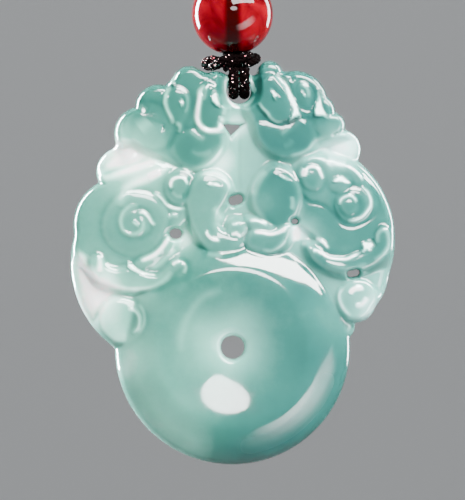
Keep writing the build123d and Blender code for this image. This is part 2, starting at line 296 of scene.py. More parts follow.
# %% [markdown]
# Jade
#
# Jade is a tangle of tiny crystals: light sinks in, scatters and comes out
# again, so clear places are a deep blue green and cloudy ones are milky. The
# mesh carries how milky each place is as an attribute, and with it painted
# light: painted highlights on edges, ridges and flats, painted glow where thin
# places are lit from behind, and painted shade in moats and creases and low on
# the donut. A ramp turns that into a colour, a noise lets it drift, and a faint
# tint makes the left of the stone greener and its right bluer. Some light
# travels below the surface. A second attribute says where the polish is worn:
# it is rough there, without a gloss.

# %% Jade
JADE_COLOURS = [
    (0.0, (0.003, 0.055, 0.055)),
    (0.3, (0.023, 0.145, 0.122)),
    (0.65, (0.16, 0.43, 0.37)),
    (0.85, (0.52, 0.80, 0.755)),
    (1.0, (0.98, 1.0, 1.0)),
]
JADE_GREENER = (0.97, 1.0, 0.93)  # tints of the stone's left and right
JADE_BLUER = (0.97, 0.98, 1.0)
TINT_LEFT, TINT_RIGHT = -9 * MM, 10 * MM  # where the one tint ends and the other is full
JADE_GLOSS, WORN_ROUGHNESS = 0.5, 0.34


def milk_and_painted_light_colour(tree, place):
    """The ramp's colour at the attribute of milk and painted light, plus a drift of noise, times a tint
    across the stone.
    """
    links = tree.links
    milk = add_node(tree, "ShaderNodeAttribute", attribute_name="milk")
    clouds = add_node(tree, "ShaderNodeTexNoise", sockets={"Scale": 170, "Detail": 5, "Roughness": 0.6})
    drift = add_node(tree, "ShaderNodeMapRange", sockets={"To Min": -0.12, "To Max": 0.12})
    total = add_node(tree, "ShaderNodeMath", operation="ADD", use_clamp=True)
    ramp = add_node(tree, "ShaderNodeValToRGB")
    for stop in JADE_COLOURS[1:-1]:
        ramp.color_ramp.elements.new(stop[0])
    for element, (position, colour) in zip(ramp.color_ramp.elements, JADE_COLOURS):
        element.position = position
        element.color = (*colour, 1)
    links.new(place, clouds.inputs["Vector"])
    links.new(clouds.outputs["Fac"], drift.inputs["Value"])
    links.new(milk.outputs["Fac"], total.inputs[0])
    links.new(drift.outputs["Result"], total.inputs[1])
    links.new(total.outputs["Value"], ramp.inputs["Fac"])
    across = add_node(tree, "ShaderNodeSeparateXYZ")
    side = add_node(tree, "ShaderNodeMapRange", interpolation_type="SMOOTHSTEP", sockets={
        "From Min": TINT_LEFT, "From Max": TINT_RIGHT,
    })
    hue = add_node(tree, "ShaderNodeMix", data_type="RGBA", blend_type="MULTIPLY")
    hue.inputs["Factor"].default_value = 1
    links.new(place, across.inputs["Vector"])
    links.new(across.outputs["X"], side.inputs["Value"])
    links.new(ramp.outputs["Color"], hue.inputs[6])
    links.new(mix_colours(tree, side.outputs["Result"], JADE_GREENER, JADE_BLUER), hue.inputs[7])
    return hue.outputs[2]


def add_wear(tree, shader, polish):
    """Where the worn attribute is high, the stone is rough and its clear gloss is gone."""
    links = tree.links
    worn = add_node(tree, "ShaderNodeAttribute", attribute_name="worn")
    dull = add_node(tree, "ShaderNodeMapRange", sockets={"To Min": 0.03, "To Max": WORN_ROUGHNESS})
    rough = add_node(tree, "ShaderNodeMath", operation="MAXIMUM")
    gloss = add_node(tree, "ShaderNodeMapRange", sockets={"To Min": JADE_GLOSS, "To Max": 0.0})
    links.new(worn.outputs["Fac"], dull.inputs["Value"])
    links.new(polish, rough.inputs[0])
    links.new(dull.outputs["Result"], rough.inputs[1])
    links.new(rough.outputs["Value"], shader.inputs["Roughness"])
    links.new(worn.outputs["Fac"], gloss.inputs["Value"])
    links.new(gloss.outputs["Result"], shader.inputs["Coat Weight"])


def jade_material():
    """Milky green stone with a polish that is worn in places."""
    material, tree, shader = new_material("jade")
    place = object_coordinates(tree)
    tree.links.new(milk_and_painted_light_colour(tree, place), shader.inputs["Base Color"])
    add_wear(tree, shader, add_polish(tree, shader, low=0.05, high=0.12, waves=0.10))
    shader.inputs["IOR"].default_value = 1.66
    shader.inputs["Specular IOR Level"].default_value = 0.5
    shader.inputs["Coat Roughness"].default_value = 0.03
    shader.inputs["Coat IOR"].default_value = 1.6
    shader.inputs["Subsurface Weight"].default_value = 1.0
    shader.inputs["Subsurface Radius"].default_value = (0.6, 1.0, 0.95)
    shader.inputs["Subsurface Scale"].default_value = 0.9 * MM
    return material


jade = jade_material()
print("colours of the jade from clear to milky:", JADE_COLOURS)

# %% [markdown]
# Agate
#
# Red agate is clearer than jade and more like coloured glass, so its polish is
# finer and its light goes deeper. The dark band down the middle of the bead is
# painted shade, for the bore and the cord in it seen through the stone, and
# noise lays fainter dark bands beside it.

# %% Agate
AGATE_RED = (0.19, 0.0, 0.006)
AGATE_DARK_BANDS_AND_BORE_SHADE = (0.02, 0.0, 0.0)
# the painted shade of the bore seen through the stone, by the way from the middle
PAINTED_BORE_CORE, PAINTED_BORE_EDGE = 0.5 * MM, 1.5 * MM  # from the middle, where the band is full and where it ends


def agate_material():
    """Clear red stone with painted shade down its middle, for the bore seen through it, and some
    fainter dark bands.
    """
    material, tree, shader = new_material("agate")
    place = object_coordinates(tree)
    bands = add_node(tree, "ShaderNodeTexNoise", sockets={"Scale": 260, "Detail": 3, "Distortion": 1.2})
    spread = add_node(tree, "ShaderNodeMapRange", sockets={"From Min": 0.4, "From Max": 0.75})
    links = tree.links
    links.new(place, bands.inputs["Vector"])
    links.new(bands.outputs["Fac"], spread.inputs["Value"])
    across = add_node(tree, "ShaderNodeSeparateXYZ")
    links.new(place, across.inputs["Vector"])
    away = add_node(tree, "ShaderNodeMath", operation="ABSOLUTE")
    links.new(across.outputs["X"], away.inputs[0])
    # painted shade down the middle: the bore seen through the stone
    painted_bore_shade = add_node(tree, "ShaderNodeMapRange", interpolation_type="SMOOTHSTEP", sockets={
        "From Min": PAINTED_BORE_CORE, "From Max": PAINTED_BORE_EDGE, "To Min": 1, "To Max": 0,
    })
    links.new(away.outputs["Value"], painted_bore_shade.inputs["Value"])
    dark_bands_and_bore_shade = add_node(tree, "ShaderNodeMath", operation="MAXIMUM")
    links.new(painted_bore_shade.outputs["Result"], dark_bands_and_bore_shade.inputs[0])
    links.new(spread.outputs["Result"], dark_bands_and_bore_shade.inputs[1])
    colour = mix_colours(tree, dark_bands_and_bore_shade.outputs["Value"], AGATE_RED, AGATE_DARK_BANDS_AND_BORE_SHADE)
    links.new(colour, shader.inputs["Base Color"])
    add_polish(tree, shader, low=0.02, high=0.06, waves=0.03)
    shader.inputs["IOR"].default_value = 1.54
    shader.inputs["Specular IOR Level"].default_value = 0.18
    shader.inputs["Transmission Weight"].default_value = 0.12
    shader.inputs["Subsurface Weight"].default_value = 0.5
    shader.inputs["Subsurface Radius"].default_value = (1.0, 0.1, 0.08)
    shader.inputs["Subsurface Scale"].default_value = 1.5 * MM
    return material


agate = agate_material()
print("colours of the agate:", AGATE_RED, AGATE_DARK_BANDS_AND_BORE_SHADE)

# %% [markdown]
# Cord
#
# The thread is matt and so dark that it looks black, and short bits of foil are
# spun into it. A Voronoi texture cuts the surface into cells a seventh of a
# millimetre wide. The few cells whose colour has the most red are foil: they
# are metal, and each gets its own tilt, so that they flash one by one.

# %% Cord
THREAD_COLOUR = (0.0015, 0.0003, 0.0004)
FOIL_RED, FOIL_SILVER = (0.25, 0.02, 0.04), (0.9, 0.75, 0.75)
FLECKS_PER_METRE = 6500
FOIL_FROM, MORE_FOIL_FROM = 0.955, 0.72  # the red above which a cell is foil, least and most foil
FOIL_TILT = 1.1


def cord_material():
    """Near-black plum thread, with flecks of foil that each catch the light at their own tilt."""
    material, tree, shader = new_material("cord")
    place = object_coordinates(tree)
    links = tree.links
    flecks = add_node(tree, "ShaderNodeTexVoronoi", sockets={"Scale": FLECKS_PER_METRE})
    links.new(place, flecks.inputs["Vector"])
    foil = add_node(tree, "ShaderNodeSeparateColor")
    links.new(flecks.outputs["Color"], foil.inputs["Color"])
    more = add_node(tree, "ShaderNodeAttribute", attribute_name="foil")
    share = add_node(tree, "ShaderNodeMapRange", sockets={
        "To Min": FOIL_FROM, "To Max": MORE_FOIL_FROM,
    })
    links.new(more.outputs["Fac"], share.inputs["Value"])
    shown = add_node(tree, "ShaderNodeMath", operation="GREATER_THAN")
    links.new(foil.outputs["Red"], shown.inputs[0])
    links.new(share.outputs["Result"], shown.inputs[1])
    tint = mix_colours(tree, foil.outputs["Green"], FOIL_RED, FOIL_SILVER)
    colour = mix_colours(tree, shown.outputs["Value"], THREAD_COLOUR, tint)
    links.new(colour, shader.inputs["Base Color"])
    links.new(shown.outputs["Value"], shader.inputs["Metallic"])
    rough = add_node(tree, "ShaderNodeMapRange", sockets={"To Min": 0.75, "To Max": 0.22})
    links.new(shown.outputs["Value"], rough.inputs["Value"])
    links.new(rough.outputs["Result"], shader.inputs["Roughness"])
    tilt = add_node(tree, "ShaderNodeVectorMath", operation="MULTIPLY_ADD")
    tilt.inputs[1].default_value = (FOIL_TILT,) * 3
    tilt.inputs[2].default_value = (-FOIL_TILT / 2,) * 3
    links.new(flecks.outputs["Color"], tilt.inputs[0])
    geometry = add_node(tree, "ShaderNodeNewGeometry")
    tilted = add_node(tree, "ShaderNodeVectorMath", operation="ADD")
    links.new(geometry.outputs["Normal"], tilted.inputs[0])
    links.new(tilt.outputs["Vector"], tilted.inputs[1])
    level = add_node(tree, "ShaderNodeVectorMath", operation="NORMALIZE")
    links.new(tilted.outputs["Vector"], level.inputs[0])
    links.new(level.outputs["Vector"], shader.inputs["Normal"])
    shader.inputs["Specular IOR Level"].default_value = 0.02
    return material


cord = cord_material()
print("colour of the thread:", THREAD_COLOUR)

# %% [markdown]
# The carving, as one height over the slab's middle plane
#
# The carver lays cloud on cloud: each curl has a low crown, a crisp flank and a
# small moat around it, which makes it read as lying on top of the last. It
# could be sculpted by hand, but here the same is done with arrays, so that each
# form can be moved by its numbers. Two heights, front and back, are worked out
# at every point of a grid, from the tables of lobes and forms, one after
# another. Wherever a new form is higher it wins, with a soft blend at the seam.
# Then come the fine ridges and creases, and last the small flats that the
# polishing wheel leaves: each is a plane with the one tilt that mirrors the
# wide softbox whole. The milk goes along, and with it painted light: edges,
# ridges and flats are painted paler as painted highlights, moats and creases
# darker as painted shade.

# %% The tables of the carving, in hundredths of its width from the donut's middle
# front and back are a lobe's heights on the two sides as shares of HALF_THICKNESS,
# and lift is the share that it is raised by on the front
Lobe = namedtuple("Lobe", "x z radius front back lift")
LOBES = [
    # the wings and the chest between them
    Lobe(-16.9, 26.4, 33.0, 0.62, 0.60, 0),
    Lobe(-34.6, 37.9, 14.5, 0.64, 0.55, 0),
    Lobe(19.2, 33.5, 31.0, 0.62, 0.60, 0),
    Lobe(31.2, 23.4, 16.9, 0.60, 0.55, 0),
    Lobe(0.0, 55.0, 26.2, 0.68, 0.65, 0),
    Lobe(-33.0, 8.6, 7.2, 0.70, 0.45, 0),
    Lobe(38.0, 13.5, 6.0, 0.62, 0.45, 0),
    Lobe(34.0, 6.5, 3.8, 0.36, 0.36, 0),
    # the edge of the left cloud, from the shoulder up
    Lobe(-34.5, 54.0, 7.5, 0.60, 0.50, 0),
    Lobe(-29.0, 58.0, 8.3, 0.70, 0.55, 0),
    Lobe(-28.2, 66.0, 8.3, 0.85, 0.65, 0),
    Lobe(-22.8, 73.9, 7.3, 0.80, 0.65, 0),
    Lobe(-13.3, 81.6, 5.3, 0.56, 0.50, 0),
    Lobe(-5.0, 80.0, 5.2, 0.38, 0.38, 0),
    # the edge of the right cloud, from the shoulder up
    Lobe(33.3, 61.0, 6.2, 0.60, 0.50, 0),
    Lobe(25.0, 66.2, 7.5, 0.78, 0.60, 0),
    Lobe(30.6, 68.3, 4.3, 0.46, 0.40, 0),
    Lobe(26.5, 72.6, 5.3, 0.56, 0.50, 0),
    Lobe(19.2, 75.2, 10.2, 0.84, 0.70, 0),
    Lobe(11.4, 84.5, 4.0, 0.43, 0.40, 0),
    # the two heads of the cloud and their low lobes
    Lobe(-11.5, 73.0, 12.2, 0.82, 0.75, 0),
    Lobe(12.5, 74.0, 11.7, 0.82, 0.75, 0),
    Lobe(-12.1, 64.0, 8.6, 0.93, 0.65, 0.06),
    Lobe(16.2, 64.6, 8.8, 0.93, 0.65, 0.06),
    # the bumps in the heads' curls
    Lobe(-5.2, 75.5, 3.6, 0.36, 0.36, 0.72),
    Lobe(-15.5, 76.0, 3.8, 0.36, 0.36, 0.68),
    Lobe(12.2, 78.0, 4.2, 0.38, 0.38, 0.70),
    Lobe(26.0, 73.3, 4.0, 0.34, 0.34, 0.46),
    # the bodies of the wings' spirals
    Lobe(-30.0, 37.8, 11.5, 0.84, 0.45, 0),
    Lobe(36.0, 42.8, 10.4, 0.84, 0.45, 0),
    # the lobes beside and below the middle
    Lobe(-7.2, 48.2, 6.3, 0.65, 0.60, 0.36),
    Lobe(-7.2, 39.0, 6.0, 0.62, 0.60, 0.32),
    Lobe(13.0, 49.0, 6.6, 0.68, 0.60, 0.34),
    Lobe(13.4, 40.2, 6.0, 0.62, 0.60, 0.32),
    Lobe(-3.5, 31.5, 5.2, 0.56, 0.50, 0.46),
    Lobe(7.5, 31.5, 5.2, 0.56, 0.50, 0.46),
]
print("lobes of the plate:", len(LOBES))

# %% The forms of the clouds
# top is the height as a share of HALF_THICKNESS, rim the width of the bend
# along the edge in millimetres, steep its slope at the edge, slope how the top
# rises upward, and milk how milky the form is
Form = namedtuple("Form", "name top rim steep slope milk outline")
FORMS = [
    # the left head, its two low lobes and its two bulbs
    Form("left head", 0.8, 1, 0.3, 0.02, 0.24, [
        (-29.8, 78.7), (-32.3, 75), (-35.4, 70.7), (-37.8, 65.8), (-35.4, 63), (-31, 63), (-27.3, 60.8),
        (-23, 59), (-19.3, 56.8), (-15.6, 55.3), (-11.9, 54.6), (-8.2, 55.6), (-5.1, 57.7),
        (-2.9, 61.1), (-2.3, 67), (-2, 73.8), (-2.6, 79.3), (-1.4, 84.9), (-5.7, 88), (-13.1, 89.2),
        (-18.7, 86.1), (-22.4, 83.1), (-26.7, 82.4)
    ]),
    Form("left head's outer lobe", 0.8, 2, 0.12, -0.02, 0.32, [
        (-26.7, 75), (-23, 74.4), (-19.9, 71.9), (-18.1, 68.2), (-18.7, 64.5), (-21.1, 61.4),
        (-24.9, 60.8), (-29.2, 62.7), (-32.3, 65.8), (-32.9, 70.1), (-30.4, 73.8)
    ]),
    Form("left head's low lobe", 0.79, 2, 0.04, 0.045, 0.2, [
        (-13.7, 66.7), (-10, 67), (-6.3, 66.4), (-3.2, 65.1), (-2.9, 61.4), (-5.1, 58), (-8.5, 55.9),
        (-12.2, 55.3), (-16.2, 56.5), (-18.7, 59.6), (-18.4, 63), (-16.5, 65.5)
    ]),
    Form("left head's middle bulb", 0.86, 0.7, 0.2, 0.05, 0.24, [
        (-15.9, 79.7), (-14, 78.1), (-13.1, 75), (-13.7, 71.6), (-15, 68.9), (-16.2, 67), (-17.8, 69.2),
        (-19.6, 71.9), (-20.5, 75.3), (-19.6, 78.1), (-18.1, 79.7)
    ]),
    Form("left head's drop", 0.9, 0.8, 0.2, 0.05, 0.24, [
        (-7.6, 81.2), (-5.1, 80), (-3.2, 77.2), (-2.6, 73.5), (-3.2, 70.1), (-5.1, 67.6), (-7.9, 67.9),
        (-10, 70.4), (-11, 73.8), (-10, 77.5), (-9.1, 80)
    ]),
    # the right head, its low lobe, its bulbs and its outer curl
    Form("right head", 0.8, 1, 0.3, 0.02, 0.25, [
        (5.4, 81.2), (7.3, 86.8), (11.6, 89.8), (16.5, 87.4), (20.8, 86.8), (25.2, 84.3), (29.5, 80),
        (32.6, 75), (35.7, 70.7), (36.3, 67), (33.8, 64.8), (29.5, 63.9), (26.1, 63.3), (24.2, 60.8),
        (20.8, 58.7), (16.5, 58), (12.2, 59.3), (9.4, 61.8), (7.3, 65.1), (6, 69.5), (4.2, 73.8)
    ]),
    Form("right head's low lobe", 0.79, 2.2, 0.03, 0.045, 0.16, [
        (7.3, 68.9), (10.3, 69.2), (14.7, 68.2), (18.4, 68.9), (21.5, 70.4), (24.2, 68.9), (25.5, 66.1),
        (25.2, 63), (23.3, 60.5), (20.2, 59), (16.5, 58.4), (12.5, 59.6), (9.7, 61.8), (7.6, 64.8)
    ]),
    Form("right head's bulb", 0.93, 0.5, 0.35, 0.04, 0.24, [
        (10.3, 83.1), (12.5, 83.4), (14, 81.8), (15.6, 80), (16.8, 77.5), (17.8, 75), (18.4, 72.6),
        (17.8, 70.1), (15, 69.2), (11.9, 70.1), (9.4, 72.6), (7.9, 75.3), (7.6, 78.1), (8.5, 81.2)
    ]),
    Form("right head's small bulb", 0.84, 0.5, 0.2, 0.05, 0.26, [
        (20.8, 81.2), (23, 80.6), (24.5, 78.1), (24.5, 75.3), (23.3, 73.2), (21.5, 73.8), (20.2, 76),
        (19.6, 78.7)
    ]),
    Form("right head's outer curl", 0.83, 0.9, 0.25, 0.04, 0.26, [
        (26.7, 80), (29.5, 76.9), (32, 73.8), (34.7, 70.7), (35, 67.6), (32.6, 65.1), (28.9, 64.5),
        (25.8, 66.1), (24.2, 68.9), (25.2, 72.6), (25.8, 76.3)
    ]),
    # the left wing
    Form("left wing", 0.72, 1, 0.25, 0.01, 0.4, [
        (-50.2, 41.1), (-46.5, 47.9), (-41.5, 51.9), (-35.4, 54), (-29.2, 55.6), (-23, 57.1),
        (-17.4, 55.3), (-13.1, 54), (-12.5, 49.7), (-13.7, 44.8), (-14, 40.4), (-16.2, 37.1),
        (-19.3, 34.9), (-18.7, 29.9), (-17.4, 25), (-19.3, 21), (-23, 18.8), (-27.3, 17.6),
        (-32.3, 17.6), (-37.8, 18.8), (-42.1, 21), (-45.2, 25), (-48.3, 29.9), (-50.8, 35.5)
    ]),
    Form("left spiral", 0.78, 1.2, 0.15, 0.03, 0.4, [
        (-29.8, 47.9), (-25.5, 47.2), (-22.1, 44.5), (-19.9, 40.8), (-20.5, 36.7), (-22.4, 32.4),
        (-25.5, 29.3), (-29.8, 28.1), (-34.1, 28.7), (-37.8, 31.2), (-40, 35.5), (-39.7, 40.4),
        (-37.2, 44.8), (-33.8, 47.2)
    ]),
    Form("left spiral's eye", 0.8, 0.8, 0.15, 0, 0.38, [
        (-29.8, 42.9), (-26.7, 41.7), (-25.2, 38.9), (-25.8, 35.8), (-28.3, 34), (-31.6, 34),
        (-34.1, 35.8), (-35, 38.9), (-33.8, 41.7), (-32, 42.9)
    ]),
    Form("left small ring's cloud", 0.8, 0.7, 0.2, 0, 0.34, [
        (-16.2, 54.6), (-13.1, 53.4), (-11.6, 50.3), (-12.2, 46.6), (-14.4, 44.2), (-17.4, 43.8),
        (-19.9, 45.7), (-20.8, 49.1), (-19.9, 52.5)
    ]),
    Form("left small ring", 0.83, 0.45, 0.2, 0, 0.36, [
        (-16.2, 52.5), (-14.4, 51.6), (-13.4, 49.4), (-14.4, 47.5), (-16.2, 46.6), (-18.1, 47.5),
        (-19, 49.4), (-18.1, 51.6)
    ]),
    Form("left low cloud", 0.8, 0.8, 0.3, 0.04, 0.4, [
        (-44, 26.2), (-42.1, 28.7), (-40, 28.1), (-38.7, 25.6), (-35.4, 24.4), (-31.6, 25),
        (-27.6, 23.8), (-23, 22.8), (-20.5, 24.7), (-18.7, 26.6), (-16.2, 27.2), (-14.4, 25.6),
        (-14.4, 22.2), (-16.8, 21.6), (-19.3, 20.4), (-22.7, 18.5), (-27, 17.6), (-32, 17.6),
        (-37.8, 18.8), (-42.1, 21)
    ]),
    Form("left wing's ridge", 0.8, 0.6, 0.25, 0, 0.46, [
        (-19.3, 34.6), (-17.4, 32.4), (-18.7, 29.6), (-21.8, 28.1), (-24.2, 25.6), (-27.3, 23.8),
        (-30.4, 25), (-29.2, 26.9), (-25.5, 28.7), (-22.4, 31.2)
    ]),
    Form("left tip spiral", 0.58, 0.9, 0.2, 0, 0.5, [
        (-35.4, 15.4), (-31.6, 14.8), (-28.6, 12.7), (-27, 9), (-27.9, 5.2), (-30.4, 2.2), (-34.7, 1.5),
        (-38.4, 3.4), (-40.9, 7.1), (-40.6, 11.4), (-38.4, 14.2)
    ]),
    # the right wing
    Form("right wing", 0.72, 1, 0.25, 0, 0.3, [
        (19, 55.3), (22.1, 58), (26.4, 59.3), (31.3, 58.4), (36.3, 56.5), (41.2, 53.4), (45.5, 48.5),
        (48.9, 42.3), (51.1, 36.1), (49.2, 31.2), (46.8, 27.5), (42.5, 24.4), (37.5, 22.8), (32, 22.8),
        (27.6, 25), (24.5, 27.5), (23.3, 31.2), (26.4, 33), (23.3, 36.1), (20.2, 38.6), (20.8, 43.5),
        (19.9, 48.5), (18.7, 52.2)
    ]),
    Form("right wing's arm", 0.78, 0.9, 0.2, 0.02, 0.34, [
        (21.5, 57.4), (25.8, 58.7), (30.7, 57.7), (35.7, 55.9), (40, 52.8), (43.1, 48.5), (44.3, 44.2),
        (43.1, 41.1), (40, 38.6), (36.3, 37.4), (33.2, 38.6), (30.7, 41.7), (27.6, 44.2), (23.3, 45.4),
        (20.8, 48.5), (19.9, 52.8)
    ]),
    Form("right spiral", 0.82, 0.8, 0.2, 0.04, 0.3, [
        (36.3, 49.1), (39.7, 48.2), (42.1, 45.4), (41.8, 42), (39.4, 39.5), (35.7, 38.6), (32.9, 40.1),
        (31.3, 43.2), (32, 46.6), (33.8, 48.5)
    ]),
    Form("right spiral's eye", 0.84, 0.5, 0.2, 0, 0.3, [
        (35.7, 46.3), (37.8, 45.4), (38.7, 43.2), (37.5, 41.1), (35.4, 40.4), (33.5, 41.7),
        (32.9, 43.8), (33.8, 45.7)
    ]),
    Form("right small ring", 0.83, 0.5, 0.2, 0, 0.3, [
        (24.2, 55.6), (26.7, 55), (27.9, 52.5), (27.3, 49.7), (25.2, 48.2), (22.7, 48.8), (21.1, 50.9),
        (21.5, 53.7)
    ]),
    Form("right wing's bulb", 0.82, 0.6, 0.2, 0, 0.32, [
        (33.2, 52.8), (35.4, 52.2), (36.3, 50), (34.4, 48.2), (31.6, 47.5), (29.8, 49.1), (30.4, 51.6)
    ]),
    Form("right low cloud", 0.8, 0.8, 0.3, 0.04, 0.3, [
        (22.7, 31.2), (25.5, 30.6), (28.3, 28.4), (31.6, 27.5), (35.4, 27.8), (39.1, 29.3),
        (42.8, 32.1), (44.3, 35.5), (46.2, 37.4), (48.3, 35.8), (48.6, 32.1), (46.8, 27.8),
        (42.5, 24.7), (37.5, 22.8), (32, 22.8), (27.6, 24.7), (24.2, 27.5)
    ]),
    Form("right tip spiral", 0.58, 0.9, 0.2, 0, 0.55, [
        (36.9, 20.7), (40.6, 20.4), (43.4, 17.9), (44, 14.2), (42.5, 10.8), (39.4, 8.3), (35.7, 9),
        (33.2, 11.7), (32.3, 15.4), (33.8, 18.8)
    ]),
    # the forms in the middle
    Form("left middle lobe", 0.83, 1.1, 0.25, 0.03, 0.4, [
        (-7.9, 53.4), (-11, 52.2), (-13.1, 49.1), (-14, 44.2), (-13.1, 38.9), (-11, 34), (-8.5, 30.6),
        (-5.1, 28.7), (-1.7, 28.7), (1.4, 29.9), (3.6, 32.1), (2.6, 34.6), (-0.2, 36.1), (-2.9, 35.8),
        (-4.8, 37.7), (-4.5, 41.4), (-2.3, 45.1), (-1.1, 48.2), (-2, 50.9), (-4.8, 52.8)
    ]),
    Form("right middle lobe", 0.84, 1.2, 0.2, 0.03, 0.22, [
        (12.5, 55.3), (9.4, 52.8), (6.9, 49.1), (6, 45.1), (7.3, 41.7), (10, 38.6), (13.4, 36.7),
        (17.1, 37.7), (19.6, 41.1), (20.8, 45.7), (20.2, 49.7), (18.1, 53.1), (15.3, 55)
    ]),
    Form("low scroll", 0.84, 0.8, 0.3, 0.05, 0.32, [
        (3.9, 33), (5.7, 35.8), (9.1, 35.8), (12.8, 35.8), (16.5, 37.7), (18.1, 37.1), (17.4, 34.6),
        (16.2, 31.8), (13.7, 29.6), (10.3, 28.7), (6.6, 29.6), (4.5, 31.2)
    ]),
    Form("low scroll's upper fold", 0.8, 0.6, 0.2, 0.04, 0.36, [
        (4.5, 39.5), (7.3, 39.5), (10.3, 38.6), (13.4, 36.7), (12.2, 35.5), (8.5, 35.8), (5.4, 36.4),
        (3.9, 38)
    ]),
    Form("low scroll's left end", 0.8, 0.5, 0.2, 0.04, 0.42, [
        (-0.2, 38.6), (2, 38.9), (3.9, 38), (4.2, 36.1), (2.9, 34.3), (0.8, 34), (-1.1, 34.9),
        (-1.4, 37.1)
    ]),
]
print("forms of the clouds:", len(FORMS))
